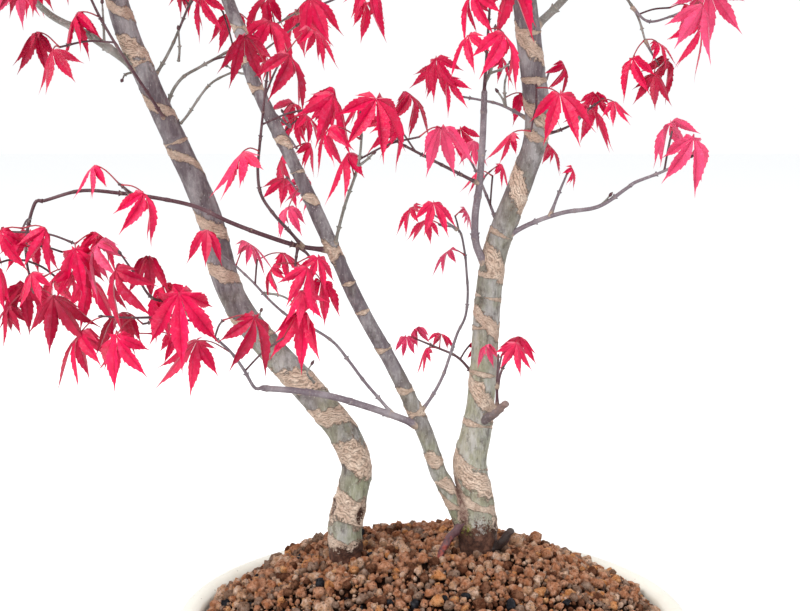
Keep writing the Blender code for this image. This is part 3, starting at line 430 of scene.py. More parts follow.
class Leaf:
    """One blade on its stalk, drawn at a node."""

    def __init__(self, node, out, size, twig, draw):
        self.node = node
        self.twig = twig
        stalk = size * draw.uniform(*STALK_SHARE)
        self.centre = node + unit(out + UP * draw.uniform(*STALK_RISE)) * stalk
        flat = np.array((out[0], out[1], 0.0))
        flat = unit(flat) if np.linalg.norm(flat) > LEVEL_LIMIT else np.array((1.0, 0.0, 0.0))
        turn = draw.uniform(-BLADE_TURN, BLADE_TURN)
        flat = np.array((flat[0] * math.cos(turn) - flat[1] * math.sin(turn),
                         flat[0] * math.sin(turn) + flat[1] * math.cos(turn), 0.0))
        fall = math.radians(draw.uniform(*BLADE_FALL))
        self.ahead = flat * math.cos(fall) - UP * math.sin(fall)
        level = flat * math.sin(fall) + UP * math.cos(fall)
        roll = draw.uniform(-BLADE_ROLL, BLADE_ROLL)
        self.up = level * math.cos(roll) + np.cross(level, self.ahead) * math.sin(roll)
        self.size = size * draw.uniform(*BLADE_SIZE)
        self.droop = math.radians(draw.uniform(*LOBE_DROOP))
        self.rim = [self.rim_point(angle, far) for angle, far in RIM]

    def rim_point(self, angle, far):
        """A point of the rim: the outer lobes and the far ends hang lower."""
        turn = math.radians(angle)
        side = np.cross(self.up, self.ahead)
        out = self.ahead * math.cos(turn) + side * math.sin(turn)
        bend = LOBE_BEND[0] + LOBE_BEND[1] * abs(angle) / QUARTER if abs(angle) <= QUARTER else 1.0
        fall = self.droop * far * bend
        return self.centre + (out * math.cos(fall) - self.up * math.sin(fall)) * self.size * far

    def stalk_room(self):
        start = self.node * (1 - ROOM_START) + self.centre * ROOM_START
        return start[None], self.centre[None], np.array((STALK_ROOM,))

    def lobe_room(self):
        tips = np.array([point for point, lobe in zip(self.rim, RIM) if lobe in LOBES])
        return np.repeat(self.centre[None], len(tips), 0), tips, np.full(len(tips), self.size * LOBE_ROOM)


def draw_node(place, heading, roll, size, seed, at_tip):
    """The side twigs and leaves of one node: a pair of shoots or leaves on opposite sides."""
    draw = random.Random(seed)
    across = unit(np.cross(heading, UP if abs(heading[2]) < STEEP else (0, 1, 0)))
    roll = roll + draw.uniform(-NODE_ROLL, NODE_ROLL)
    ray = across * math.cos(roll) + np.cross(heading, across) * math.sin(roll)
    twigs = []
    leaves = []
    for sign in (1, -1):
        out = unit(ray * sign + heading * draw.uniform(*SHOOT_LEAN))
        if at_tip or draw.random() >= TWIG_SHARE:
            leaves.append(Leaf(place, out, size, None, draw))
            continue
        end = place + unit(out + UP * TWIG_RISE) * size * draw.uniform(*TWIG_LENGTH)
        go = unit(end - place)
        bend = unit(np.cross(go, UP) + TINY)
        for side in (1, -1):
            leaf_out = unit(bend * side + go * draw.uniform(*PAIR_LEAN))
            leaves.append(Leaf(end, leaf_out, size * TWIG_LEAF, len(twigs), draw))
        twigs.append((place, end))
    return twigs, leaves


def capsule_gaps(starts, ends, other_starts, other_ends):
    """The distance of each of some straight lines from each of some others."""
    u = (ends - starts)[:, None]
    v = (other_ends - other_starts)[None]
    w = starts[:, None] - other_starts[None]
    uu, uv, vv, uw, vw = [(a * b).sum(-1) for a, b in ((u, u), (u, v), (v, v), (u, w), (v, w))]
    s = np.clip((uv * vw - vv * uw) / np.maximum(uu * vv - uv * uv, TINY), 0, 1)
    t = np.clip((uv * s + vw) / np.maximum(vv, TINY), 0, 1)
    s = np.clip((uv * t - uw) / np.maximum(uu, TINY), 0, 1)
    return np.linalg.norm(w + s[..., None] * u - t[..., None] * v, axis=-1)


class Room:
    """The limbs, twigs and leaves that are in place, as capsules that nothing new may touch."""

    def __init__(self):
        self.starts = np.zeros((0, 3))
        self.ends = np.zeros((0, 3))
        self.radii = np.zeros(0)
        self.tags = np.zeros(0, int)
        self.names = []

    def add(self, tag, starts, ends, radii):
        if tag not in self.names:
            self.names.append(tag)
        self.starts = np.vstack((self.starts, starts))
        self.ends = np.vstack((self.ends, ends))
        self.radii = np.concatenate((self.radii, radii))
        self.tags = np.concatenate((self.tags, np.full(len(radii), self.names.index(tag))))

    def add_line(self, tag, line, radii):
        self.add(tag, line[:-1], line[1:], np.maximum(radii[:-1], radii[1:]))

    def is_free(self, starts, ends, radii, own=None):
        near = np.linalg.norm((self.starts + self.ends) / 2 - starts.mean(0), axis=1) < SEARCH_REACH
        if own in self.names:
            near &= self.tags != self.names.index(own)
        if not near.any():
            return True
        gaps = capsule_gaps(starts, ends, self.starts[near], self.ends[near])
        return (gaps - radii[:, None] - self.radii[near][None]).min() > CLEAR


def kept_growth(name, twigs, leaves, middle, reach, room):
    """What of a node's draw stays in the mass's own space and touches nothing."""
    kept_twigs = {}
    for index, (start, end) in enumerate(twigs):
        start = start * (1 - TWIG_START) + end * TWIG_START
        if room.is_free(start[None], end[None], np.array((TWIG_RADIUS,)), name):
            kept_twigs[index] = twigs[index]
    kept_leaves = []
    for leaf in leaves:
        if leaf.twig is not None and leaf.twig not in kept_twigs:
            continue
        if max(np.linalg.norm(point - middle) for point in leaf.rim) > reach:
            continue
        if not room.is_free(*leaf.stalk_room(), name) or not room.is_free(*leaf.lobe_room()):
            continue
        if any(capsule_gaps(*leaf.lobe_room()[:2], *other.lobe_room()[:2]).min() < LEAF_CLEAR
               for other in kept_leaves):
            continue
        kept_leaves.append(leaf)
    held = {leaf.twig for leaf in kept_leaves}
    return [twig for index, twig in kept_twigs.items() if index in held], kept_leaves


def claim(name, twigs, leaves, room):
    """Enter a node's growth among what is in place."""
    for start, end in twigs:
        room.add(name + " twigs", start[None], end[None], np.array((TWIG_RADIUS,)))
    for leaf in leaves:
        room.add(name + " lobes", *leaf.lobe_room())
        room.add(name, *leaf.stalk_room())


def space_middle(line, count, reach):
    """The middle of a mass's space, a little below its leafy nodes, as leaves hang."""
    return np.mean([place for place, heading in nodes_on(line, count)], 0) - UP * SPACE_DROP * reach


def grow(name, line, room):
    """All side twigs and leaves of one mass."""
    size, reach, seeds = MASSES[name][3:]
    middle = space_middle(line, len(seeds), reach)
    all_twigs = []
    all_leaves = []
    for index, ((spot, heading), seed) in enumerate(zip(nodes_on(line, len(seeds)), seeds)):
        drawn = draw_node(spot, heading, index * math.pi / 2, size, seed, index == 0)
        twigs, leaves = kept_growth(name, *drawn, middle, reach, room)
        claim(name, twigs, leaves, room)
        all_twigs += twigs
        all_leaves += leaves
    return all_twigs, all_leaves




# Finer growth, which only the dressed tree has: between the leafy nodes of these masses are
# more nodes with smaller leaves. A mass's place in this list is its seed. The others stay open.
FINE_MASSES = (
    "hanging_leaves", "left_shoot_leaves", "far_left_leaves", "left_side_leaves", "left_rear_leaves",
    "left_front_leaves", "left_top_leaves", "middle_rear_top_leaves", "middle_front_top_leaves",
    "middle_top_leaves", "inner_top_leaves", "upper_right_leaves", "right_front_leaves",
    "right_rear_leaves", "right_top_leaves", "top_right_leaves",
)
FINE_LEAF = 0.86
FINE_ROLL = 0.8
SEED_STEP = 100

# Sprays: extra twigs that grow on a limb or on a mass's stem, with their middle line, leaf
# length, how far their space reaches, how many leafy nodes they have and one seed.
SPRAYS = {
    "low_left_tip_spray": (
        "low_left_leaves",
        ((-0.116, -0.060, 0.232), (-0.127, -0.066, 0.234),
         (-0.133, -0.068, 0.244), (-0.139, -0.070, 0.254)),
        0.03, 0.06, 3, 4),
    "low_left_side_spray": (
        "low_left_leaves",
        ((-0.112, -0.057, 0.226), (-0.126, -0.058, 0.224),
         (-0.139, -0.060, 0.224), (-0.150, -0.062, 0.225)),
        0.031, 0.06, 3, 6),
    "upper_front_spray": (
        "left_trunk_leaves",
        ((-0.071, 0.044, 0.364), (-0.050, 0.042, 0.371), (-0.042, 0.038, 0.376), (-0.036, 0.034, 0.380)),
        0.028, 0.055, 2, 3),
    "trunk_left_tip_spray": (
        "trunk_left_leaves",
        ((0.013, 0.022, 0.322), (0.009, 0.024, 0.328), (0.003, 0.026, 0.336)),
        0.023, 0.042, 1, 2),
    "hanging_right_tip_spray": (
        "hanging_right_leaves",
        ((0.106, 0.026, 0.350), (0.109, 0.027, 0.345), (0.113, 0.028, 0.339)),
        0.026, 0.045, 1, 3),
    "upper_right_side_spray": (
        "hanging_right_leaves",
        ((0.099, 0.024, 0.366), (0.106, 0.014, 0.358), (0.116, 0.004, 0.361), (0.124, 0.000, 0.365)),
        0.03, 0.055, 2, 4),
    "stub_side_spray": (
        "stub_leaves",
        ((0.031, -0.013, 0.180), (0.034, -0.022, 0.195), (0.039, -0.024, 0.202)),
        0.019, 0.036, 1, 1),
    "inner_tip_spray": (
        "inner_leaves",
        ((0.012, 0.018, 0.256), (0.006, 0.008, 0.260), (-0.002, 0.004, 0.265)),
        0.02, 0.04, 1, 1),
    "trunk_behind_spray": (
        "right_trunk",
        ((0.048, 0.002, 0.300), (0.051, 0.014, 0.296), (0.053, 0.020, 0.300)),
        0.024, 0.045, 1, 8),
    "middle_upper_spray": (
        "middle_stem",
        ((-0.083, -0.004, 0.318), (-0.071, 0.006, 0.307), (-0.075, 0.012, 0.314)),
        0.024, 0.045, 2, 7),
    "trunk_right_tip_spray": (
        "trunk_right_leaves",
        ((0.066, -0.012, 0.309), (0.074, -0.010, 0.317), (0.079, -0.008, 0.320)),
        0.016, 0.032, 1, 2),
    "hanging_side_spray": (
        "left_shoot",
        ((-0.066, -0.016, 0.251), (-0.060, -0.022, 0.246),
         (-0.059, -0.028, 0.237), (-0.061, -0.032, 0.229)),
        0.027, 0.05, 2, 6),
    "middle_low_spray": (
        "middle_stem",
        ((-0.070, -0.007, 0.292), (-0.067, 0.008, 0.275), (-0.073, 0.014, 0.281)),
        0.024, 0.045, 2, 8),
}
SPRAY_STEM = (0.0017, 0.0010)
GROWN = {}

# The crown's upper limbs bear more sprays: the share of the limb's length at which the first
# one grows, and how many there are. A spray's place in this order is its seed.
CROWN_LIMBS = {
    "left_trunk": (0.83, 4), "middle_stem": (0.80, 3), "right_trunk": (0.82, 4),
    "upper_left_bough": (0.70, 2), "left_back_bough": (0.30, 3), "left_front_bough": (0.30, 3),
    "middle_back_bough": (0.30, 3), "middle_front_bough": (0.55, 2), "right_inner_bough": (0.45, 3),
    "upper_right_bough": (0.72, 2), "right_front_bough": (0.35, 3), "right_back_bough": (0.30, 3),
    "top_right_bough": (0.30, 3),
}
CROWN_END = 0.93
CROWN_TURN = 2.4
CROWN_REACH = 0.036
CROWN_RISE = 0.35
CROWN_LEAF = 0.029
CROWN_SPACE = 0.055
CROWN_NODES = 2


def fine_nodes(line, count):
    """The places between the leafy nodes of a stem, and one below them, from the tip down."""
    along = lengths(line)
    nodes = []
    for index in range(count + 1):
        stop = along[-1] - (index + 0.5) * NODE_SPACING
        if stop > BARE_FOOT / 2:
            place, before = [np.array([np.interp(at, along, line[:, axis]) for axis in range(3)])
                             for at in (stop, stop - HEADING_STEP)]
            nodes.append((place, unit(place - before)))
    return nodes


def grow_finely(name, nodes, size, reach, seed, middle, wood, tip=False):
    """Side twigs and leaves at some nodes, each node drawn from the one seed and its number."""
    all_twigs, all_leaves = [], []
    for index, (spot, heading) in enumerate(nodes):
        roll = FINE_ROLL + index * math.pi / 2
        drawn = draw_node(spot, heading, roll, size, seed * SEED_STEP + index, tip and index == 0)
        twigs, leaves = kept_growth(name, *drawn, middle, reach, wood)
        for start, end in twigs:
            wood.add(name + " twigs", start[None], end[None], np.array((TWIG_RADIUS,)))
        all_twigs += twigs
        all_leaves += leaves
    return all_twigs, all_leaves


def crown_sprays(limbs):
    """The sprays along the upper limbs: in turn to either side of a bough, and round a stem."""
    sprays = {}
    for name, (first, count) in CROWN_LIMBS.items():
        line = limbs[name][0]
        along = lengths(line)
        for index, share in enumerate(np.linspace(first, CROWN_END, count)):
            place, before = [np.array([np.interp(at, along, line[:, axis]) for axis in range(3)])
                             for at in (share * along[-1], share * along[-1] - HEADING_STEP)]
            ahead = unit(place - before)
            across = unit(np.cross(ahead, UP))
            if ahead[2] > STEEP:
                turn = index * CROWN_TURN
                out = across * math.cos(turn) + np.cross(ahead, across) * math.sin(turn)
            else:
                out = across * (-1) ** index
            knee = place + (out * 0.4 + ahead * 0.5) * CROWN_REACH * 0.5
            tip = place + (out + ahead * 0.4 + UP * CROWN_RISE) * CROWN_REACH
            sprays[f"{name}_spray_{index + 1}"] = (
                name, (place, knee, tip), CROWN_LEAF, CROWN_SPACE, CROWN_NODES, len(sprays) + 1)
    return sprays


def growth():
    """Every stem that bears leaves, with its side twigs and leaves. The finer growth keeps
    clear of all wood but lies over the first leaves."""
    if GROWN:
        return GROWN
    limbs = limb_lines()
    stems = {name: mass_stem(name, limbs) for name in MASSES}
    room, wood = Room(), Room()
    for place in (room, wood):
        for name, (line, radii) in limbs.items():
            place.add_line(name, line, radii)
        for name, stem in stems.items():
            place.add_line(name, stem, radii_along(stem, MASS_STEM, stem))
    grown = {name: (stem, *grow(name, stem, room)) for name, stem in stems.items()}
    for seed, name in enumerate(FINE_MASSES, 1):
        stem, twigs, leaves = grown[name]
        size, reach, seeds = MASSES[name][3:]
        middle = space_middle(stem, len(seeds), reach)
        nodes = fine_nodes(stem, len(seeds))
        more = grow_finely(name, nodes, size * FINE_LEAF, reach, seed, middle, wood)
        twigs += more[0]
        leaves += more[1]
    SPRAYS.update(crown_sprays(limbs))
    for name, (parent, route, size, reach, count, seed) in SPRAYS.items():
        carrier = limbs[parent][0] if parent in limbs else grown[parent][0]
        stem = smooth((nearest_on(carrier, route[0]), *route[1:]), TWIG_STEP)
        wood.add_line(name, stem, radii_along(stem, SPRAY_STEM, stem))
        middle = space_middle(stem, count, reach)
        nodes = nodes_on(stem, count)
        grown[name] = (stem, *grow_finely(name, nodes, size, reach, seed, middle, wood, True))
    GROWN.update(grown)
    return GROWN


# Settings a user would change

class PotSettings(bpy.types.PropertyGroup):
    lip_thickness: bpy.props.FloatProperty(
        name="Lip Thickness", description="Height of the rounded lip",
        default=0.011, min=0.003, unit="LENGTH")
    glaze: bpy.props.FloatVectorProperty(
        name="Glaze", description="Colour of the thick cream glaze",
        default=(0.66, 0.635, 0.56), subtype="COLOR")
    thin_glaze: bpy.props.FloatVectorProperty(
        name="Thin Glaze", description="Colour where the glaze runs thin over the clay",
        default=(0.54, 0.47, 0.36), subtype="COLOR")
    pits: bpy.props.FloatVectorProperty(
        name="Pits", description="Colour of the small pits in the glaze",
        default=(0.16, 0.10, 0.06), subtype="COLOR")


class SoilSettings(bpy.types.PropertyGroup):
    big_grain: bpy.props.FloatProperty(
        name="Largest Grain", description="Radius of the largest soil grains",
        default=0.0040, min=0.001, unit="LENGTH")
    small_grain: bpy.props.FloatProperty(
        name="Smallest Grain", description="Radius of the smallest soil grains",
        default=0.0007, min=0.0003, unit="LENGTH")
    brown: bpy.props.FloatVectorProperty(
        name="Brown", description="Colour of most baked clay grains",
        default=(0.46, 0.180, 0.085), subtype="COLOR")
    tan: bpy.props.FloatVectorProperty(
        name="Tan", description="Colour of the pale grains",
        default=(0.60, 0.325, 0.187), subtype="COLOR")
    gold: bpy.props.FloatVectorProperty(
        name="Gold", description="Colour of the orange-yellow grains",
        default=(0.66, 0.26, 0.095), subtype="COLOR")
    drab: bpy.props.FloatVectorProperty(
        name="Drab", description="Colour of the grey-brown grains",
        default=(0.26, 0.143, 0.090), subtype="COLOR")
    umber: bpy.props.FloatVectorProperty(
        name="Umber", description="Colour of the dark brown grains",
        default=(0.130, 0.046, 0.023), subtype="COLOR")
    black: bpy.props.FloatVectorProperty(
        name="Black", description="Colour of the few lava grains",
        default=(0.022, 0.022, 0.026), subtype="COLOR")


class BarkSettings(bpy.types.PropertyGroup):
    cork_height: bpy.props.FloatProperty(
        name="Cork Height", description="How far the corky bands stand out of the bark",
        default=0.00030, min=0.0, unit="LENGTH")
    old_bark: bpy.props.FloatVectorProperty(
        name="Old Bark", description="Grey-green bark near the ground",
        default=(0.275, 0.258, 0.180), subtype="COLOR")
    green_bark: bpy.props.FloatVectorProperty(
        name="Green Bark", description="Green patches in the bark near the ground",
        default=(0.185, 0.210, 0.130), subtype="COLOR")
    young_bark: bpy.props.FloatVectorProperty(
        name="Young Bark", description="Purple-grey bark higher up",
        default=(0.112, 0.088, 0.100), subtype="COLOR")
    cork: bpy.props.FloatVectorProperty(
        name="Cork", description="Tan corky bands",
        default=(0.600, 0.442, 0.342), subtype="COLOR")
    stain: bpy.props.FloatVectorProperty(
        name="Stain", description="Dark damp bark at the soil",
        default=(0.045, 0.018, 0.012), subtype="COLOR")


class TwigSettings(bpy.types.PropertyGroup):
    collar: bpy.props.FloatProperty(
        name="Collar", description="How much thicker a twig is at its nodes",
        default=0.30, min=0.0, subtype="FACTOR")
    lilac_bark: bpy.props.FloatVectorProperty(
        name="Lilac Bark", description="Pale lilac-grey bark of the middling twigs",
        default=(0.140, 0.108, 0.126), subtype="COLOR")
    green_bark: bpy.props.FloatVectorProperty(
        name="Green Bark", description="Grey-green bark of the older twigs",
        default=(0.150, 0.140, 0.122), subtype="COLOR")
    shoot_bark: bpy.props.FloatVectorProperty(
        name="Shoot Bark", description="Dark purple bark of the youngest shoots",
        default=(0.062, 0.020, 0.028), subtype="COLOR")
    stalk: bpy.props.FloatVectorProperty(
        name="Stalk", description="Red of the leaf stalks",
        default=(0.40, 0.020, 0.040), subtype="COLOR")


class LeafSettings(bpy.types.PropertyGroup):
    size: bpy.props.FloatProperty(
        name="Leaf Size", description="Size of the leaves as a share of the length that the growth rule gives",
        default=1.03, min=0.2, max=1.5, subtype="FACTOR")
    tooth: bpy.props.FloatProperty(
        name="Tooth", description="Depth of the teeth on a lobe, as a share of the leaf's length",
        default=0.017, min=0.0, subtype="FACTOR")
    fold: bpy.props.FloatProperty(
        name="Fold", description="How far the two halves of a lobe fold up from its rib",
        default=0.55, min=0.0, subtype="FACTOR")
    droop: bpy.props.FloatProperty(
        name="Droop", description="How much further the lobes hang down at their tips",
        default=0.24, subtype="ANGLE")
    lift: bpy.props.FloatProperty(
        name="Lift", description="How far the blade as a whole is raised towards level",
        default=0.20, subtype="ANGLE")
    crimson: bpy.props.FloatVectorProperty(
        name="Crimson", description="Colour of most leaves", default=(0.62, 0.003, 0.060), subtype="COLOR")
    scarlet: bpy.props.FloatVectorProperty(
        name="Scarlet", description="Colour of the brightest leaves", default=(0.74, 0.008, 0.080), subtype="COLOR")
    rose: bpy.props.FloatVectorProperty(
        name="Rose", description="Colour of the soft pink-red leaves", default=(0.72, 0.055, 0.150), subtype="COLOR")
    wine: bpy.props.FloatVectorProperty(
        name="Wine", description="Colour of the darkest leaves", default=(0.44, 0.003, 0.040), subtype="COLOR")


class StageSettings(bpy.types.PropertyGroup):
    floor_colour: bpy.props.FloatVectorProperty(
        name="Floor", description="Colour of the plain floor", default=(0.96, 0.96, 0.96), subtype="COLOR")
    sky: bpy.props.FloatProperty(
        name="Sky Light", description="Strength of the even light from all round", default=1.03, min=0.0)
    key: bpy.props.FloatProperty(
        name="Key Light", description="Power of the large soft light above the left front, in watts",
        default=32.0, min=0.0)
    top: bpy.props.FloatProperty(
        name="Top Light", description="Power of the large soft light overhead, in watts",
        default=9.0, min=0.0)
    fill: bpy.props.FloatProperty(
        name="Fill Light", description="Power of the weak soft light on the right, in watts",
        default=4.0, min=0.0)
    lens: bpy.props.FloatProperty(
        name="Lens", description="Focal length of the camera, in millimetres", default=54.0, min=10.0)


# Materials

class Nodes:
    """A material's node tree and its Principled shader, with short ways to add to it."""

    def __init__(self, name, roughness, specular=0.5):
        self.made = bpy.data.materials.new(name)
        self.made.use_nodes = True
        self.tree = self.made.node_tree
        self.shader = self.tree.nodes["Principled BSDF"]
        self.set(Roughness=roughness)
        self.shader.inputs["Specular IOR Level"].default_value = specular
        coordinates = self.tree.nodes.new("ShaderNodeTexCoord")
        self.place = coordinates.outputs["Object"]

    def set(self, **values):
        for key, value in values.items():
            self.shader.inputs[key.replace("_", " ")].default_value = value

    def link(self, start, end):
        if isinstance(start, (int, float)):
            end.default_value = start
        elif isinstance(start, tuple):
            end.default_value = (*start, 1.0)
        else:
            self.tree.links.new(start, end)

    def stretched(self, scale):
        node = self.tree.nodes.new("ShaderNodeMapping")
        node.inputs["Scale"].default_value = scale
        self.link(self.place, node.inputs["Vector"])
        return node.outputs["Vector"]

    def noise(self, scale, detail=3.0, rough=0.55, place=None):
        node = self.tree.nodes.new("ShaderNodeTexNoise")
        node.inputs["Scale"].default_value = scale
        node.inputs["Detail"].default_value = detail
        node.inputs["Roughness"].default_value = rough
        self.link(place or self.place, node.inputs["Vector"])
        return node.outputs["Fac"]

    def cells(self, scale, place=None):
        node = self.tree.nodes.new("ShaderNodeTexVoronoi")
        node.inputs["Scale"].default_value = scale
        self.link(place or self.place, node.inputs["Vector"])
        return node.outputs["Distance"]

    def steps(self, value, low, high, start=0.0, end=1.0):
        """A value brought from one range to another and held at its ends."""
        node = self.tree.nodes.new("ShaderNodeMapRange")
        for name, number in (("From Min", low), ("From Max", high), ("To Min", start), ("To Max", end)):
            node.inputs[name].default_value = number
        self.link(value, node.inputs["Value"])
        return node.outputs["Result"]

    def sum(self, operation, first, second):
        node = self.tree.nodes.new("ShaderNodeMath")
        node.operation = operation
        self.link(first, node.inputs[0])
        self.link(second, node.inputs[1])
        return node.outputs["Value"]

    def mix(self, share, first, second):
        node = self.tree.nodes.new("ShaderNodeMix")
        node.data_type = "RGBA"
        self.link(share, node.inputs["Factor"])
        self.link(first, node.inputs["A"])
        self.link(second, node.inputs["B"])
        return node.outputs["Result"]

    def attribute(self, name):
        node = self.tree.nodes.new("ShaderNodeAttribute")
        node.attribute_name = name
        return node.outputs["Fac"]

    def height_above(self):
        node = self.tree.nodes.new("ShaderNodeSeparateXYZ")
        self.link(self.place, node.inputs["Vector"])
        return node.outputs["Z"]

    def finish(self, colour, bump=None, depth=0.0002, roughness=None):
        self.link(colour, self.shader.inputs["Base Color"])
        if roughness is not None:
            self.link(roughness, self.shader.inputs["Roughness"])
        if bump is not None:
            node = self.tree.nodes.new("ShaderNodeBump")
            node.inputs["Distance"].default_value = depth
            self.link(bump, node.inputs["Height"])
            self.link(node.outputs["Normal"], self.shader.inputs["Normal"])
        return self.made


def bark_material(name, settings, low, high):
    """Grey-green to purple-grey bark with pale flecks, and ragged tan cork inside its bands, edged by a thin dark line
    of painted shade.
    """
    nodes = Nodes(name, 0.6, 0.22)
    climb = nodes.sum("ADD", nodes.height_above(), nodes.steps(nodes.noise(30.0), 0.3, 0.7, -0.05, 0.05))
    green = nodes.steps(nodes.noise(48.0, 3.0, 0.6, nodes.stretched((1.0, 1.0, 0.5))), 0.46, 0.60, 0.0, 0.5)
    old = nodes.mix(green, tuple(settings.old_bark), tuple(settings.green_bark))
    bark = nodes.mix(nodes.steps(climb, low, high), old, tuple(settings.young_bark))
    bark_bloom_and_painted_leaf_sheen = nodes.noise(90.0, 6.0, 0.65, nodes.stretched((1.0, 1.0, 0.45)))
    bark = nodes.mix(nodes.steps(bark_bloom_and_painted_leaf_sheen, 0.46, 0.62, 0.0, 0.65), bark, (0.37, 0.355, 0.36))
    dark = nodes.noise(190.0, 6.0, 0.75, nodes.stretched((1.0, 1.0, 0.6)))
    bark = nodes.mix(nodes.steps(dark, 0.52, 0.66, 0.0, 0.75), bark, (0.060, 0.044, 0.040))
    streaks = nodes.noise(520.0, 5.0, 0.7, nodes.stretched((1.0, 1.0, 0.22)))
    streaked = nodes.steps(climb, low, high, 0.45, 0.22)
    pale = nodes.sum("MULTIPLY", streaked, nodes.steps(streaks, 0.50, 0.66))
    bark = nodes.mix(pale, bark, (0.45, 0.43, 0.40))
    deep = nodes.sum("MULTIPLY", streaked, nodes.steps(streaks, 0.48, 0.34))
    bark = nodes.mix(deep, bark, (0.055, 0.042, 0.036))
    flecks = nodes.steps(nodes.cells(900.0, nodes.stretched((1.0, 1.0, 0.55))), 0.08, 0.22, 1.0, 0.0)
    flecks = nodes.sum("MULTIPLY", flecks, nodes.steps(nodes.noise(120.0, 2.0), 0.36, 0.60, 0.0, 0.55))
    bark = nodes.mix(flecks, bark, (0.56, 0.52, 0.50))
    band = nodes.attribute("band")
    edge = nodes.sum("ADD", band, nodes.steps(nodes.noise(430.0, 8.0, 0.8), 0.25, 0.75, -0.55, 0.55))
    swirl = nodes.sum("ADD", nodes.sum("MULTIPLY", band, 24.0), nodes.steps(nodes.noise(250.0, 4.0), 0.2, 0.8, -6.0, 6.0))
    crease = nodes.steps(nodes.sum("SINE", swirl, 0.0), 0.72, 1.0)
    cork = nodes.mix(nodes.steps(nodes.noise(230.0, 5.0, 0.7), 0.45, 0.68), tuple(settings.cork), (0.84, 0.69, 0.565))
    grain = nodes.noise(640.0, 6.0, 0.8, nodes.stretched((1.0, 1.0, 2.6)))
    cork = nodes.mix(nodes.steps(grain, 0.50, 0.64, 0.0, 0.75), cork, (0.25, 0.145, 0.095))
    cork = nodes.mix(nodes.sum("MULTIPLY", crease, 0.28), cork, (0.15, 0.085, 0.058))
    inside = nodes.steps(edge, 1.0, 0.92)
    colour = nodes.mix(inside, bark, cork)
    # Painted shade: a thin dark line along each band's edge stands in for the thin shadow beside its raised lip.
    line = nodes.sum("MULTIPLY", nodes.steps(edge, 0.80, 0.97), nodes.steps(edge, 1.16, 1.0))
    colour = nodes.mix(nodes.sum("MULTIPLY", line, 0.45), colour, (0.120, 0.074, 0.054))
    seam = nodes.sum("MULTIPLY", nodes.attribute("seam"), nodes.steps(nodes.noise(380.0, 6.0, 0.8), 0.38, 0.56, 0.25, 1.0))
    colour = nodes.mix(seam, colour, (0.205, 0.105, 0.088))
    moss = nodes.sum("MULTIPLY", nodes.attribute("moss"), nodes.steps(nodes.noise(420.0, 5.0, 0.7), 0.36, 0.56))
    colour = nodes.mix(moss, colour, (0.170, 0.185, 0.020))
    damp = nodes.sum("ADD", nodes.attribute("rise"), nodes.steps(nodes.noise(260.0, 6.0, 0.75), 0.25, 0.75, -0.6, 0.6))
    damp = nodes.sum("ADD", damp, nodes.steps(nodes.noise(1000.0, 3.0, 0.7), 0.3, 0.7, -0.25, 0.25))
    mud = nodes.mix(nodes.steps(nodes.noise(330.0, 6.0, 0.75), 0.42, 0.62), tuple(settings.stain), (0.135, 0.062, 0.040))
    colour = nodes.mix(nodes.steps(damp, 1.0, 0.8), colour, mud)
    rough = nodes.sum("MULTIPLY", inside, nodes.sum("SUBTRACT", nodes.noise(700.0, 6.0, 0.8), crease))
    fine = nodes.sum("MULTIPLY", nodes.noise(500.0, 6.0, 0.75), 0.5)
    return nodes.finish(colour, nodes.sum("ADD", rough, fine), 0.0012)


CORK_COLLAR = (0.36, 0.27, 0.20)


def twig_material(name, colour, pale, collar=CORK_COLLAR):
    """Smooth young bark with pale flecks, and tan corky rings at its nodes."""
    nodes = Nodes(name, 0.45, 0.35)
    flecks = nodes.steps(nodes.noise(1100.0, 3.0), 0.52, 0.70, 0.0, 0.6)
    bark = nodes.mix(flecks, colour, pale)
    bark = nodes.mix(nodes.steps(nodes.noise(80.0, 2.0), 0.48, 0.72, 0.0, 0.7), bark, pale)
    ring = nodes.sum("ADD", nodes.attribute("collar"), nodes.steps(nodes.noise(600.0, 4.0), 0.3, 0.7, -0.25, 0.25))
    bark = nodes.mix(nodes.steps(ring, 0.45, 0.95, 0.0, 0.85), bark, collar)
    return nodes.finish(bark, nodes.noise(1300.0, 3.0), 0.0003)


def stalk_material(colour):
    nodes = Nodes("leaf_stalk_red", 0.42, 0.4)
    shade = nodes.mix(nodes.steps(nodes.noise(120.0, 2.0), 0.35, 0.7), colour, (0.17, 0.016, 0.030))
    return nodes.finish(shade, nodes.noise(1800.0, 2.0), 0.0001)


def leaf_material(name, colour):
    """A soft matt leaf, faintly veined, darker along each lobe's rib, and paler pink on its level, upward-facing
    parts: a painted sheen for the light from above.
    """
    nodes = Nodes(name, 0.34, 0.22)
    blade = nodes.mix(nodes.steps(nodes.noise(150.0, 3.0), 0.35, 0.75, 0.0, 0.7), colour,
                      tuple(part * 0.60 for part in colour))
    blade = nodes.mix(nodes.steps(nodes.noise(420.0, 4.0, 0.7), 0.52, 0.72, 0.0, 0.35), blade,
                      (colour[0], colour[1] + 0.10, colour[2] + 0.16))
    # Painted sheen: the parts of the blade that face up are mixed towards pale pink, a painted highlight for the light
    # from above.
    bark_bloom_and_painted_leaf_sheen = nodes.sum("MULTIPLY", nodes.attribute("level"), nodes.steps(nodes.noise(90.0, 3.0), 0.3, 0.7, 0.25, 0.55))
    blade = nodes.mix(bark_bloom_and_painted_leaf_sheen, blade, (0.87, 0.25, 0.35))
    rib = nodes.sum("POWER", nodes.attribute("rib"), 9.0)
    blade = nodes.mix(nodes.sum("MULTIPLY", rib, 0.55), blade, tuple(part * 0.4 for part in colour))
    return nodes.finish(blade, nodes.noise(700.0, 4.0), 0.0005)


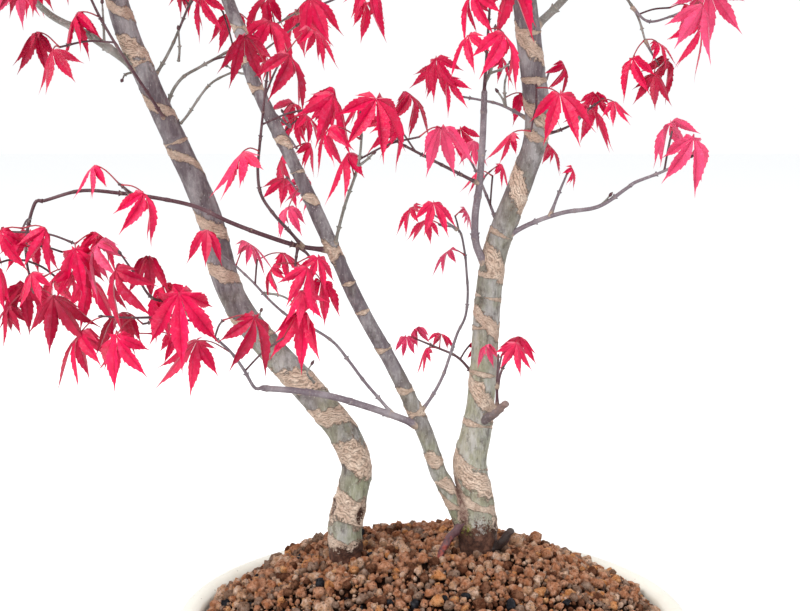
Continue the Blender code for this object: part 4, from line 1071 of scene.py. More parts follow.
def grain_material(name, colour, light):
    """A crumbly clay grain, a little dusty, with small pits painted nearly black as painted shade for pores that the
    mesh does not have.
    """
    nodes = Nodes(name, 1.0, 0.05)
    dust = nodes.steps(nodes.noise(260.0, 6.0, 0.75), 0.44, 0.66)
    earth = nodes.mix(dust, colour, light)
    # Painted shade: small pits darkened to a tenth of the grain's colour, for shade inside pores that the mesh does
    # not have.
    pits = nodes.steps(nodes.noise(650.0, 6.0, 0.8), 0.52, 0.63, 0.0, 0.95)
    earth = nodes.mix(pits, earth, tuple(part * 0.10 for part in colour))
    return nodes.finish(earth, nodes.noise(1000.0, 8.0, 0.85), 0.0026)


def glaze_material(settings):
    """Thick cream glaze, warmer where it runs thin, with small dark pits."""
    nodes = Nodes("cream_pot_glaze", 0.16, 0.5)
    nodes.set(Coat_Weight=0.5, Coat_Roughness=0.08)
    thin = nodes.steps(nodes.noise(26.0, 4.0), 0.5, 0.8, 0.0, 0.5)
    glaze = nodes.mix(thin, tuple(settings.glaze), tuple(settings.thin_glaze))
    foot = nodes.steps(nodes.height_above(), 0.004, 0.012, 0.8, 0.0)
    glaze = nodes.mix(foot, glaze, tuple(settings.thin_glaze))
    spots = nodes.sum("MULTIPLY", nodes.steps(nodes.cells(210.0), 0.05, 0.09, 1.0, 0.0),
                      nodes.steps(nodes.noise(90.0, 1.0), 0.50, 0.56))
    glaze = nodes.mix(spots, glaze, tuple(settings.pits))
    waves = nodes.sum("SUBTRACT", nodes.noise(120.0, 2.0), nodes.sum("MULTIPLY", spots, 0.6))
    return nodes.finish(glaze, waves, 0.0003)


# Meshes

def new_object(name, mesh, look):
    """A finished piece: its object at the origin, riding with the tree."""
    piece = bpy.data.objects.new(name, mesh)
    bpy.context.scene.collection.objects.link(piece)
    mesh.materials.append(look)
    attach(piece, BODY)
    return piece


TUBES = {}


def arrays_of(shape):
    """The places and faces of a bmesh as arrays. It frees the bmesh."""
    shape.verts.index_update()
    places = np.array([vert.co[:] for vert in shape.verts])
    faces = np.array([[vert.index for vert in face.verts] for face in shape.faces])
    shape.free()
    return places, faces


def unit_tube(sides, rings):
    """A closed tube: where round it and in which ring each vertex is, and its faces."""
    if (sides, rings) not in TUBES:
        shape = bmesh.new()
        bmesh.ops.create_cone(shape, cap_ends=True, segments=sides, radius1=1.0, radius2=1.0, depth=1.0)
        rails = [edge for edge in shape.edges if abs(edge.verts[0].co.z - edge.verts[1].co.z) > 0.5]
        if rings > 2:
            bmesh.ops.subdivide_edges(shape, edges=rails, cuts=rings - 2, use_grid_fill=True)
        bmesh.ops.triangulate(shape, faces=shape.faces)
        places, faces = arrays_of(shape)
        TUBES[sides, rings] = (places[:, :2], np.rint((places[:, 2] + 0.5) * (rings - 1)).astype(int), faces)
    return TUBES[sides, rings]


def frames_along(line):
    """The heading, front and right of a line at each point, with no twist."""
    ahead = np.gradient(line, axis=0)
    ahead /= np.linalg.norm(ahead, axis=1, keepdims=True)
    choices = np.array(((0.0, -1.0, 0.0), (0.0, 0.0, 1.0), (1.0, 0.0, 0.0)))
    clear = [np.linalg.norm(np.cross(ahead, choice), axis=1).min() for choice in choices]
    look = choices[0] if clear[0] > 0.35 else choices[int(np.argmax(clear))]
    front = look - ahead * (ahead @ look)[:, None]
    front /= np.linalg.norm(front, axis=1, keepdims=True)
    return ahead, front, np.cross(ahead, front)


def sweep(line, radii, sides, relief=None):
    """The vertices and faces of a limb, and the height that relief gives each vertex."""
    around, ring, faces = unit_tube(sides, len(line))
    ahead, front, right = frames_along(line)
    out = right[ring] * around[:, :1] - front[ring] * around[:, 1:]
    far = np.asarray(radii)[ring]
    marks = {}
    if relief:
        turn = np.arctan2(around[:, 0], -around[:, 1])
        lift, marks = relief(line[ring] + out * far[:, None], line[ring][:, 2], turn)
        far = far + lift
    return line[ring] + out * far[:, None], faces, marks


class Joined:
    """Many small meshes that become one piece."""

    def __init__(self):
        self.places = []
        self.faces = []
        self.marks = {}
        self.count = 0

    def add(self, places, faces, **marks):
        self.places.append(places)
        self.faces.append(faces + self.count)
        for name, values in marks.items():
            self.marks.setdefault(name, []).append(np.broadcast_to(values, len(places)))
        self.count += len(places)

    def join(self, other):
        marks = {name: np.concatenate(values) for name, values in other.marks.items()}
        self.add(np.concatenate(other.places), np.concatenate(other.faces), **marks)

    def mesh(self, name, sharp=None):
        places = np.concatenate(self.places)
        faces = np.concatenate(self.faces)
        mesh = bpy.data.meshes.new(name)
        mesh.vertices.add(len(places))
        mesh.vertices.foreach_set("co", places.ravel())
        mesh.loops.add(faces.size)
        mesh.loops.foreach_set("vertex_index", faces.ravel())
        mesh.polygons.add(len(faces))
        mesh.polygons.foreach_set("loop_start", np.arange(0, faces.size, 3))
        mesh.update(calc_edges=True)
        mesh.validate()
        for mark, values in self.marks.items():
            mesh.attributes.new(mark, "FLOAT", "POINT").data.foreach_set("value", np.concatenate(values))
        mesh.shade_smooth()
        if sharp is not None:
            mesh.set_sharp_from_angle(angle=sharp)
        return mesh


def rounded(line, radii):
    """A line with a short dome added at its tip."""
    ahead = unit(line[-1] - line[-2]) * radii[-1]
    return (np.vstack((line, line[-1] + ahead * 0.55, line[-1] + ahead * 0.9)),
            np.concatenate((radii, (radii[-1] * 0.8, radii[-1] * 0.35))))


def refined(line, radii, step):
    """The same limb on a finer even line."""
    along = lengths(line)
    stops = np.linspace(0, along[-1], max(2, round(along[-1] / step)) + 1)
    smooth_line = smooth(line, step)
    own = lengths(smooth_line) / lengths(smooth_line)[-1] * along[-1]
    return smooth_line, np.interp(own, along, radii)


# Bark

# Corky bands that wind up a trunk: the height of each turn at the front of the stem, and
# half of the band's height there, in metres.
BANDS = {
    "left_trunk": (
        (0.094, 0.0032), (0.114, 0.0068), (0.142, 0.0085), (0.162, 0.0036), (0.180, 0.0056),
        (0.2105, 0.0016), (0.235, 0.0040), (0.2585, 0.0038), (0.2935, 0.0028), (0.317, 0.0034),
        (0.3455, 0.0050), (0.3625, 0.0030), (0.389, 0.0028), (0.414, 0.0022), (0.440, 0.0020),
        (0.466, 0.0014), (0.495, 0.0010)),
    "right_trunk": (
        (0.092, 0.0008), (0.130, 0.0070), (0.172, 0.0060), (0.2098, 0.0045), (0.240, 0.0066),
        (0.2765, 0.0070), (0.313, 0.0040), (0.346, 0.0048), (0.382, 0.0036), (0.416, 0.0028),
        (0.448, 0.0022), (0.480, 0.0014), (0.510, 0.0010)),
    "middle_stem": (),
}
# How much a band narrows away from the front of its stem.
PINCH = {"left_trunk": 0.25, "right_trunk": 0.60, "middle_stem": 0.3}
# Ring scars that lie level or tilt a little: height, half-height and how far the right side
# of the ring is below its left side.
RINGS = {
    "left_trunk": (
        (0.2015, 0.0007, 0.001), (0.3385, 0.0012, 0.002), (0.300, 0.0006, 0.001), (0.372, 0.0008, 0.001),
        (0.402, 0.0008, 0.001)),
    "right_trunk": (
        (0.1160, 0.0032, 0.011), (0.1365, 0.0009, 0.008), (0.1575, 0.0012, 0.001), (0.1835, 0.0008, 0.002),
        (0.2075, 0.0009, -0.002), (0.2225, 0.0008, 0.002), (0.2335, 0.0009, 0.001), (0.2545, 0.0009, 0.002),
        (0.303, 0.0018, 0.003), (0.330, 0.0014, 0.002), (0.352, 0.0014, 0.001), (0.3745, 0.0010, 0.001),
        (0.400, 0.0010, 0.002), (0.424, 0.0008, 0.001), (0.455, 0.0007, 0.001)),
    "middle_stem": (
        (0.1415, 0.0030, 0.004), (0.1660, 0.0026, 0.001), (0.178, 0.0016, 0.003), (0.2480, 0.0040, 0.002),
        (0.199, 0.0010, 0.002), (0.218, 0.0007, 0.001), (0.232, 0.0006, 0.001), (0.273, 0.0018, 0.004),
        (0.286, 0.0006, 0.001), (0.3005, 0.0024, 0.004), (0.3257, 0.0018, 0.003), (0.3385, 0.0014, 0.001),
        (0.354, 0.0014, 0.003), (0.386, 0.0012, 0.002), (0.410, 0.0009, 0.001), (0.430, 0.0008, 0.001)),
}
# Old pruning scars: height, how far round to the right of the front in radians, half-height,
# and how deep the middle is sunk.
SCARS = {
    "left_trunk": ((0.1125, 0.85, 0.0060, 0.0006), (0.1130, -1.25, 0.0054, 0.0006)),
    "right_trunk": ((0.1040, 1.20, 0.0030, 0.0005),),
    "middle_stem": (),
}
# Between which heights the bark goes from grey-green to purple-grey.
GREY_TO_PURPLE = {"left_trunk": (0.13, 0.21), "right_trunk": (0.19, 0.30), "middle_stem": (0.13, 0.21)}
TRUNK_FINENESS = {"left_trunk": (72, 0.0008), "right_trunk": (72, 0.0008), "middle_stem": (40, 0.0008)}
SEAM_WIDTH = 0.0030
MOSS_SPOT = (0.0168, -0.0052, 0.1020)
MOSS_REACH = 0.0060
FORK_STEMS = ("right_trunk", "fork")
# The spurs beside the fork, with their scale to the solid's width, how far their tip is
# raised, and the colours of their bark, its flecks and their ends.
SPUR_LOOKS = {
    "root": (0.70, 0.0, (0.075, 0.031, 0.037), (0.13, 0.056, 0.060), (0.46, 0.075, 0.040)),
    "base_stub": (0.85, 0.006, (0.022, 0.015, 0.014), (0.060, 0.040, 0.036), (0.040, 0.026, 0.023)),
    "cut_stub": (1.0, 0.0, (0.105, 0.080, 0.085), (0.28, 0.24, 0.235), (0.21, 0.14, 0.12)),
}
STAIN_TOP = {"left_trunk": 0.008, "right_trunk": 0.016, "middle_stem": 0.004}
RING_UNEVENNESS = 0.6
FAR = 9.0


def smooth_step(value, low, high):
    share = np.clip((value - low) / (high - low), 0.0, 1.0)
    return share * share * (3 - 2 * share)


def noises(places, scale, seed=0.0):
    """Perlin noise at many places, about -1 to 1."""
    return np.array([noise.noise(Vector(place * scale + seed)) for place in places])


def band_distance(name, heights, turn):
    """How far each place is from the nearest corky band: 0 in its middle and 1 at its edge."""
    nearest = np.full(len(heights), FAR)
    turns = np.array(BANDS[name])
    for index in range(-1, len(turns) + 1):
        at = index - turn / math.tau
        if not len(turns):
            break
        centre = np.interp(at, np.arange(len(turns)), turns[:, 0])
        half = np.interp(at, np.arange(len(turns)), turns[:, 1])
        half = half * (1 - PINCH[name] * (1 - np.cos(turn)) / 2)
        away = np.abs(heights - centre) / np.maximum(half, 0.0003)
        nearest = np.minimum(nearest, np.where((at < -0.6) | (at > len(turns) - 0.4), FAR, away))
    for height, half, drop in RINGS[name]:
        uneven = 1 + RING_UNEVENNESS * np.sin(turn * 2 + height * 900)
        away = np.abs(heights - height + np.sin(turn) * drop / 2) / (half * uneven)
        nearest = np.minimum(nearest, away)
    return nearest


def seam_distance(places, line, radii):
    """How far each place is from the surface of another stem, as a share of the seam's width."""
    gaps = np.linalg.norm(places[:, None] - line[None], axis=2) - radii[None]
    return np.abs(gaps.min(axis=1)) / SEAM_WIDTH + noises(places, 140.0, 7.0) * 0.5


def bark_relief(name, cork_height, beside=None):
    """A relief for one stem: corky bands, ring scars, pruning scars and unevenness, and cork
    in the seam with the stem beside it."""

    def relief(places, heights, turn):
        ragged = noises(places, 300.0) * 0.45 + noises(places, 110.0, 9.0) * 0.35
        band = band_distance(name, heights, turn)
        seam = moss = np.zeros(len(places))
        if beside:
            away = seam_distance(places, *beside)
            band = np.minimum(band, away)
            seam = 1 - smooth_step(away, 0.25, 0.95)
            moss = 1 - smooth_step(np.linalg.norm(places - MOSS_SPOT, axis=1) / MOSS_REACH, 0.4, 1.0)
        band = np.minimum(band + ragged * np.minimum(band, 1.2), 3.0)
        cork = 1 - smooth_step(band, 0.8, 1.05)
        lip = np.exp(-((band - 0.92) / 0.20) ** 2)
        crumbs = noises(places, 1300.0, 3.0) + noises(places * (1.0, 1.0, 2.2), 500.0, 4.0)
        lift = cork_height * (cork * (0.6 + 0.8 * crumbs) + lip * (1.0 + 0.8 * ragged))
        lift = lift + noises(places, 60.0, 5.0) * 0.00040 + noises(places, 500.0, 6.0) * 0.00008
        sunk = np.zeros(len(places))
        for height, at, half, depth in SCARS[name]:
            round_there = (turn - at + math.pi) % math.tau - math.pi
            away = np.hypot((heights - height) / half, round_there / 0.42) + ragged * 0.5
            lift = lift + cork_height * 2.2 * np.exp(-((away - 1.05) / 0.28) ** 2)
            lift = lift - depth * (1 - smooth_step(away, 0.3, 1.0))
            sunk = np.maximum(sunk, 1 - smooth_step(away, 0.6, 1.0))
            band = np.where(away < 1.7, np.minimum(band, 0.55 + 0.45 * away / 1.7), band)
        ground = np.array([soil_height(place[0], place[1]) for place in places])
        rise = (places[:, 2] - ground) / STAIN_TOP[name]
        rise = np.clip(np.where(sunk > 0.02, 1.30 - 0.52 * sunk, rise), -1.0, 3.0)
        return lift, {"band": band, "rise": rise, "seam": seam, "moss": moss}

    return relief


def rough_relief(places, heights, turn):
    """A plain relief of small lumps, for the spurs."""
    return noises(places, 260.0, 2.0) * 0.0009 + noises(places, 700.0, 3.0) * 0.0004, {}


class MAPLE_OT_trunks(bpy.types.Operator):
    """Build the two trunks and the middle stem with their corky bands and ring scars"""
    bl_idname = "maple.trunks"
    bl_label = "Trunks"

    def execute(self, context):
        settings = context.scene.maple_bark
        limbs = limb_lines()
        for name in STEMS:
            look = bark_material(name + "_bark_with_cork", settings, *GREY_TO_PURPLE[name])
            sides, step = TRUNK_FINENESS[name]
            joined = Joined()
            for part, other in (FORK_STEMS, FORK_STEMS[::-1]) if name in FORK_STEMS else ((name, None),):
                line, radii = refined(*limbs[part], step)
                beside = refined(*limbs[other], step) if other else None
                relief = bark_relief(name, settings.cork_height, beside)
                places, faces, marks = sweep(*rounded(line, radii), sides, relief)
                joined.add(places, faces, **marks)
            piece = new_object(name + "_bark", joined.mesh(name + "_bark"), look)
            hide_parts(name)
        for spur, (scale, rise, bark, pale, end) in SPUR_LOOKS.items():
            joined = Joined()
            line, radii = refined(*limbs[spur], step)
            line = line + UP * rise * (lengths(line) / lengths(line)[-1])[:, None]
            line, radii = rounded(line, radii * scale)
            places, faces, marks = sweep(line, radii, 32, rough_relief)
            joined.add(places, faces, collar=unit_tube(32, len(line))[1] / len(line))
            look = twig_material(spur + "_bark", bark, pale, end)
            new_object(spur + "_bark", joined.mesh(spur + "_bark"), look)
        return {"FINISHED"}


# Twigs

# Small side twigs with no leaves of their own, from a limb to a bud.
BARE_TWIGS = (
    ((-0.124, 0.001, 0.309), (-0.121, 0.004, 0.313), (-0.111, 0.014, 0.328), (-0.097, 0.022, 0.336),
     (-0.084, 0.028, 0.346), (-0.070, 0.034, 0.357)),
    ((-0.125, 0.006, 0.339), (-0.125, 0.010, 0.345), (-0.126, 0.014, 0.354)),
    ((0.045, -0.002, 0.352), (0.056, 0.006, 0.362), (0.062, 0.012, 0.368), (0.067, 0.018, 0.375)),
    ((-0.156, -0.014, 0.347), (-0.159, -0.017, 0.348), (-0.161, -0.018, 0.351)),
    ((-0.156, -0.014, 0.347), (-0.155, -0.018, 0.356), (-0.154, -0.023, 0.364)),
    ((-0.142, -0.001, 0.333), (-0.148, -0.004, 0.333), (-0.149, -0.010, 0.330)),
    ((-0.089, -0.002, 0.333), (-0.094, -0.004, 0.333), (-0.099, -0.008, 0.336)),
    ((-0.036, -0.046, 0.291), (-0.032, -0.050, 0.294), (-0.029, -0.054, 0.297)),
    ((0.023, -0.014, 0.328), (0.026, -0.012, 0.334), (0.027, -0.010, 0.344), (0.028, -0.008, 0.353)),
    ((0.026, -0.012, 0.333), (0.032, -0.004, 0.335), (0.036, 0.002, 0.338)),
    ((-0.082, -0.017, 0.228), (-0.074, -0.024, 0.228), (-0.066, -0.030, 0.225)),
    ((0.079, -0.014, 0.270), (0.081, -0.015, 0.272), (0.083, -0.017, 0.275)),
    ((0.035, 0.008, 0.317), (0.034, 0.009, 0.320), (0.031, 0.006, 0.324)),
    ((0.035, 0.008, 0.317), (0.035, 0.016, 0.327), (0.037, 0.022, 0.335)),
    ((-0.094, 0.002, 0.213), (-0.087, -0.004, 0.214), (-0.086, -0.006, 0.217)),
    ((-0.060, -0.008, 0.1815), (-0.062, -0.024, 0.190), (-0.060, -0.024, 0.194)),
)
BARE_TWIG_WIDTHS = (0.0016, 0.0009)
# The limbs with green and with purple bark; all others are lilac-grey.
TWIG_BARKS = {
    "purple": ("left_shoot", "middle_left_leaves", "left_twig_leaves", "hanging_leaves",
               "left_shoot_leaves", "far_left_leaves", "side_stem_leaves", "front_stem_leaves",
               "stub_leaves", "low_inner_leaves", "trunk_front_leaves", "trunk_right_leaves",
               "low_left_tip_spray", "low_left_side_spray", "hanging_side_spray", "stub_side_spray",
               "trunk_right_tip_spray"),
    "green": ("upper_left_bough", "upper_right_bough", "left_back_bough", "left_front_bough",
              "middle_front_leaves", "left_up_leaves", "left_trunk_leaves", "hanging_right_leaves",
              "right_front_bough", "right_back_bough", "right_inner_bough"),
}
NODE_STEP = 0.021
COLLAR_LENGTH = 0.0009
KNOB_SIZE = 0.0006
FLARE_LENGTH = 0.0034
FLARE_SWELL = 0.5
SLIM = 0.86
TWIG_SIDES = 8
TWIG_FINENESS = 0.0010


def collared(line, radii, swell, spacing, flare):
    """A twig's radii with a thickened collar at every node and a flare where it leaves its
    stem, and how near each point is to one."""
    along = lengths(line)
    near = np.zeros(len(line))
    for stop in np.arange(0.0, along[-1] + COLLAR_LENGTH, spacing):
        near = np.maximum(near, np.exp(-((along - stop) / COLLAR_LENGTH) ** 2))
    foot = np.exp(-((along - flare) / FLARE_LENGTH) ** 2) * (flare > 0)
    return radii * (1 + swell * near + FLARE_SWELL * foot), np.maximum(near * 0.6, foot)


def add_twig(joined, line, radii, swell, sides=TWIG_SIDES, spacing=NODE_STEP, flare=0.0):
    line, radii = refined(line, radii * SLIM, TWIG_FINENESS)
    radii, near = collared(line, radii, swell, spacing, flare)
    add_knobs(joined, line, radii, spacing)
    line, radii = rounded(line, radii)
    near = np.concatenate((near, near[-1:], near[-1:]))
    places, faces, marks = sweep(line, radii, sides)
    joined.add(places, faces, collar=near[unit_tube(sides, len(line))[1]])


def add_knobs(joined, line, radii, spacing):
    """A pair of small resting buds at every node, each pair across from the one before."""
    along = lengths(line)
    ahead, front, right = frames_along(line)
    for order, stop in enumerate(np.arange(spacing, along[-1] - COLLAR_LENGTH, spacing)):
        at = int(np.searchsorted(along, stop))
        across = front[at] if order % 2 else right[at]
        for side in (across, -across):
            add_bud(joined, line[at] + side * radii[at] * 0.5, unit(ahead[at] + side),
                    KNOB_SIZE + radii[at] * 0.8)


def girth_at(limbs, parent, place):
    """The radius of a limb where it is nearest a place. The stems of masses are slim all along."""
    if parent not in limbs:
        return MASS_STEM[0] / 2
    line, radii = limbs[parent]
    return radii[np.argmin(np.linalg.norm(line - place, axis=1))]


def add_bud(joined, place, ahead, size):
    """A small pointed bud."""
    shares = np.array((0.0, 0.25, 0.55, 0.85, 1.0))
    girth = np.array((0.16, 0.30, 0.27, 0.12, 0.02))
    line = place + shares[:, None] * size * ahead
    places, faces, marks = sweep(line, girth * size, 6)
    joined.add(places, faces, collar=0.4)


def twig_looks(settings):
    """The three barks of twigs and boughs."""
    return {
        "lilac": twig_material("lilac_twig_bark", tuple(settings.lilac_bark), (0.31, 0.275, 0.29)),
        "green": twig_material("green_twig_bark", tuple(settings.green_bark), (0.36, 0.35, 0.33)),
        "purple": twig_material("purple_shoot_bark", tuple(settings.shoot_bark), (0.15, 0.09, 0.10)),
    }


def bark_of(name):
    for bark, names in TWIG_BARKS.items():
        if name in names:
            return bark
    return "lilac"


class MAPLE_OT_boughs(bpy.types.Operator):
    """Build the boughs as tapering limbs with collars at their nodes"""
    bl_idname = "maple.boughs"
    bl_label = "Boughs"

    def execute(self, context):
        settings = context.scene.maple_twigs
        looks = twig_looks(settings)
        limbs = limb_lines()
        for name in BOUGHS:
            joined = Joined()
            line, radii = limbs[name]
            add_twig(joined, line, radii, settings.collar * 0.6, 16, flare=girth_at(limbs, BOUGHS[name][0], line[0]))
            piece = new_object(name + "_bark", joined.mesh(name + "_bark"), looks[bark_of(name)])
            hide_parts(name)
        return {"FINISHED"}


class MAPLE_OT_twigs(bpy.types.Operator):
    """Build all twigs with their collars and buds, older ones grey and the youngest dark purple"""
    bl_idname = "maple.twigs"
    bl_label = "Twigs"

    def execute(self, context):
        settings = context.scene.maple_twigs
        looks = twig_looks(settings)
        barks = {bark: Joined() for bark in looks}
        young = barks["purple"]
        limbs = limb_lines()
        for name, (line, twigs, leaves) in growth().items():
            if name in SPRAYS:
                widths, flare = SPRAY_STEM, girth_at(limbs, SPRAYS[name][0], line[0])
            else:
                limb, place = MASSES[name][:2]
                widths, flare = MASS_STEM, 0.0 if place == "tip" else girth_at(limbs, limb, line[0])
            add_twig(barks[bark_of(name)], line, radii_along(line, widths, line), settings.collar,
                     spacing=NODE_SPACING, flare=flare)
            for start, end in twigs:
                bend = (start + end) / 2 + UP * 0.06 * np.linalg.norm(end - start)
                small = np.array((start, bend, end))
                add_twig(young, small, np.full(3, TWIG_RADIUS), settings.collar, 6)
            add_bud(young, line[-1], unit(line[-1] - line[-2]), 0.0026)
        for route in BARE_TWIGS:
            line = smooth(route, 0.004)
            add_twig(barks["green"], line, radii_along(line, BARE_TWIG_WIDTHS, line), settings.collar, spacing=0.008)
            add_bud(young, line[-1], unit(line[-1] - line[-2]), 0.003)
        for bark, joined in barks.items():
            new_object(bark + "_twigs", joined.mesh(bark + "_twigs"), looks[bark])
        return {"FINISHED"}


# Leaves

# A lobe's half width along it, as shares of the leaf's length.
LOBE_SHAPE = ((0.0, 0.0), (0.10, 0.034), (0.20, 0.068), (0.31, 0.100), (0.42, 0.115), (0.52, 0.108),
              (0.62, 0.088), (0.72, 0.058), (0.80, 0.030), (0.87, 0.0135), (1.0, 0.0))
# How many teeth each side of a lobe has on the five main lobes and on the two small basal ones.
TEETH, BASAL_TEETH = 5, 2
TEETH_FROM, TEETH_TO = 0.36, 0.80
TOOTH_LENGTH = 0.014
LOBE_FOOT = (0.0, 0.22)
LOBE_TAIL = 0.88
BASAL_LOBES = ((120, 0.34), (-120, 0.34))
# Where along a lobe it has turned down to its steepest, and how far its tip turns up again.
DROOP_END = 0.45
TIP_RISE = 0.35
FOLDS = (0.4, 1.5)
FOLD_DOWN_SHARE = 0.35
STALK_SIDES = 5
TINTS = ("crimson", "scarlet", "rose", "wine")
TINT_SHARES = (0.44, 0.28, 0.14, 0.14)


def lobe_pattern(tooth, teeth):
    """One lobe as shares of the leaf's length: its stops, and for each vertex which stop it
    is at and how far across its rib it is, with the lobe's faces."""
    stops = list(LOBE_FOOT)
    widen = [0.0] * len(stops)
    for tip in np.linspace(TEETH_FROM, TEETH_TO, teeth):
        stops += [tip, tip + TOOTH_LENGTH]
        widen += [tooth, -tooth * 0.6]
    stops = np.array(stops + [LOBE_TAIL, 1.0])
    half = np.interp(stops, *np.array(LOBE_SHAPE).T) + np.array(widen + [0.0, 0.0]) * (1.15 - stops)
    shape = bmesh.new()
    bmesh.ops.create_grid(shape, x_segments=2, y_segments=len(stops) - 1, size=1.0)
    for end in (-1.0, 1.0):
        row = [vert for vert in shape.verts if abs(vert.co.y - end) < 0.001]
        bmesh.ops.pointmerge(shape, verts=row, merge_co=(0.0, end, 0.0))
    bmesh.ops.triangulate(shape, faces=shape.faces)
    places, faces = arrays_of(shape)
    ring = np.rint((places[:, 1] + 1) / 2 * (len(stops) - 1)).astype(int)
    return stops, ring, np.rint(places[:, 0]) * half[ring], faces


def leaf_mesh(leaf, patterns, settings):
    """The vertices of one leaf's lobes, each folded along its rib and hanging in an arch."""
    length = leaf.size * settings.size
    ahead = leaf.ahead * math.cos(settings.lift) + leaf.up * math.sin(settings.lift)
    up = leaf.up * math.cos(settings.lift) - leaf.ahead * math.sin(settings.lift)
    side = np.cross(up, ahead)
    leaf_shape = Joined()
    for angle, far in LOBES + BASAL_LOBES:
        stops, ring, across, faces = patterns[(angle, far) in BASAL_LOBES]
        turn = math.radians(angle)
        out = ahead * math.cos(turn) + side * math.sin(turn)
        beside = side * math.cos(turn) - ahead * math.sin(turn)
        bend = LOBE_BEND[0] + LOBE_BEND[1] * min(abs(angle), QUARTER) / QUARTER
        steepest = (leaf.droop * 1.5 + settings.droop) * bend
        fall = steepest * (smooth_step(stops, -0.1, DROOP_END) - TIP_RISE * smooth_step(stops, 0.6, 1.2))
        heading = out * np.cos(fall)[:, None] - up * np.sin(fall)[:, None]
        level = out * np.sin(fall)[:, None] + up * np.cos(fall)[:, None]
        steps = np.diff(stops)[:, None] * (heading[1:] + heading[:-1]) / 2
        rib = leaf.centre + np.vstack((np.zeros(3), np.cumsum(steps, 0))) * length * far
        width = across * length * (0.25 + 0.75 * far)
        lean = settings.fold * leaf.fold * np.abs(width)
        # The "level" mark is how far each part of a lobe faces up; the leaf material paints a pale pink sheen there, a
        # painted highlight.
        leaf_shape.add(rib[ring] + beside * width[:, None] + level[ring] * lean[:, None], faces,
                       rib=1 - np.sign(np.abs(across)), level=smooth_step(level[ring][:, 2], 0.45, 1.0))
    return leaf_shape


class MAPLE_OT_stalks(bpy.types.Operator):
    """Build the red stalks that the leaves hang on"""
    bl_idname = "maple.stalks"
    bl_label = "Leaf Stalks"

    def execute(self, context):
        settings = context.scene.maple_twigs
        joined = Joined()
        for line, twigs, leaves in growth().values():
            for leaf in leaves:
                span = np.linalg.norm(leaf.centre - leaf.node)
                bend = leaf.node * 0.45 + leaf.centre * 0.55 + UP * span * 0.10
                inside = leaf.centre + leaf.ahead * leaf.size * 0.05
                route = smooth((leaf.node, bend, leaf.centre, inside), 0.0022)
                share = lengths(route) / lengths(route)[-1]
                radii = np.interp(share, (0, 0.12, 0.85, 1), (0.00052, 0.00036, 0.00032, 0.00016))
                places, faces, marks = sweep(route, radii, STALK_SIDES)
                joined.add(places, faces)
        look = stalk_material(tuple(settings.stalk))
        new_object("leaf_stalks", joined.mesh("leaf_stalks"), look)
        return {"FINISHED"}


class MAPLE_OT_leaves(bpy.types.Operator):
    """Build the toothed five-lobed leaves, dealt into tints by spray"""
    bl_idname = "maple.leaves"
    bl_label = "Leaves"

    def execute(self, context):
        settings = context.scene.maple_leaves
        patterns = [lobe_pattern(settings.tooth, teeth) for teeth in (TEETH, BASAL_TEETH)]
        tints = {tint: Joined() for tint in TINTS}
        dealt = random.Random(5)
        for name, (line, twigs, leaves) in growth().items():
            spray = {}
            for leaf in leaves:
                key = (tuple(leaf.node), leaf.twig)
                if key not in spray:
                    spray[key] = dealt.choices(TINTS, TINT_SHARES)[0]
                leaf.fold = dealt.uniform(*FOLDS) * (-1 if dealt.random() < FOLD_DOWN_SHARE else 1)
                tints[spray[key]].join(leaf_mesh(leaf, patterns, settings))
        masses = list(MASSES)
        for tint in TINTS:
            look = leaf_material(tint + "_leaf", tuple(getattr(settings, tint)))
            mesh = tints[tint].mesh(tint + "_leaves", math.radians(18))
            piece = new_object(tint + "_leaves", mesh, look)
            if tint == TINTS[0]:
                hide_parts(*masses)
        return {"FINISHED"}


# Soil

GRAIN_SHAPES = 12
GRAIN_KINDS = ("brown", "tan", "gold", "drab", "umber", "black")
GRAIN_SHARES = (0.47, 0.17, 0.07, 0.15, 0.11, 0.03)
GRAIN_LIGHTS = {"brown": (0.79, 0.455, 0.305), "tan": (0.91, 0.67, 0.53), "gold": (0.90, 0.52, 0.27),
                "drab": (0.50, 0.355, 0.28), "umber": (0.34, 0.165, 0.097), "black": (0.07, 0.07, 0.08)}
COARSE_GRAIN = 0.0013
# Grain sizes from large to small: the share of the largest radius, how many are tried, and
# how close they may lie as a share of their radii.
GRAIN_SIZES = ((1.0, 60, 0.80), (0.80, 300, 0.78), (0.62, 1100, 0.78), (0.48, 3000, 0.76),
               (0.36, 6500, 0.74), (0.26, 9000, 0.72), (0.17, 9000, 0.66))


def grain_patterns(fineness):
    """A few lumpy crumbs, from which all grains are turned and sized."""
    shapes = []
    for index in range(GRAIN_SHAPES):
        shape = bmesh.new()
        bmesh.ops.create_icosphere(shape, subdivisions=fineness, radius=1.0)
        for vert in shape.verts:
            lump = noise.noise(vert.co * 1.1 + Vector((index * 7.0, 0, 0)))
            crumb = noise.noise(vert.co * 2.9 + Vector((0, index * 5.0, 0)))
            vert.co *= 1 + 0.42 * lump + 0.38 * crumb
        shapes.append(arrays_of(shape))
    return shapes


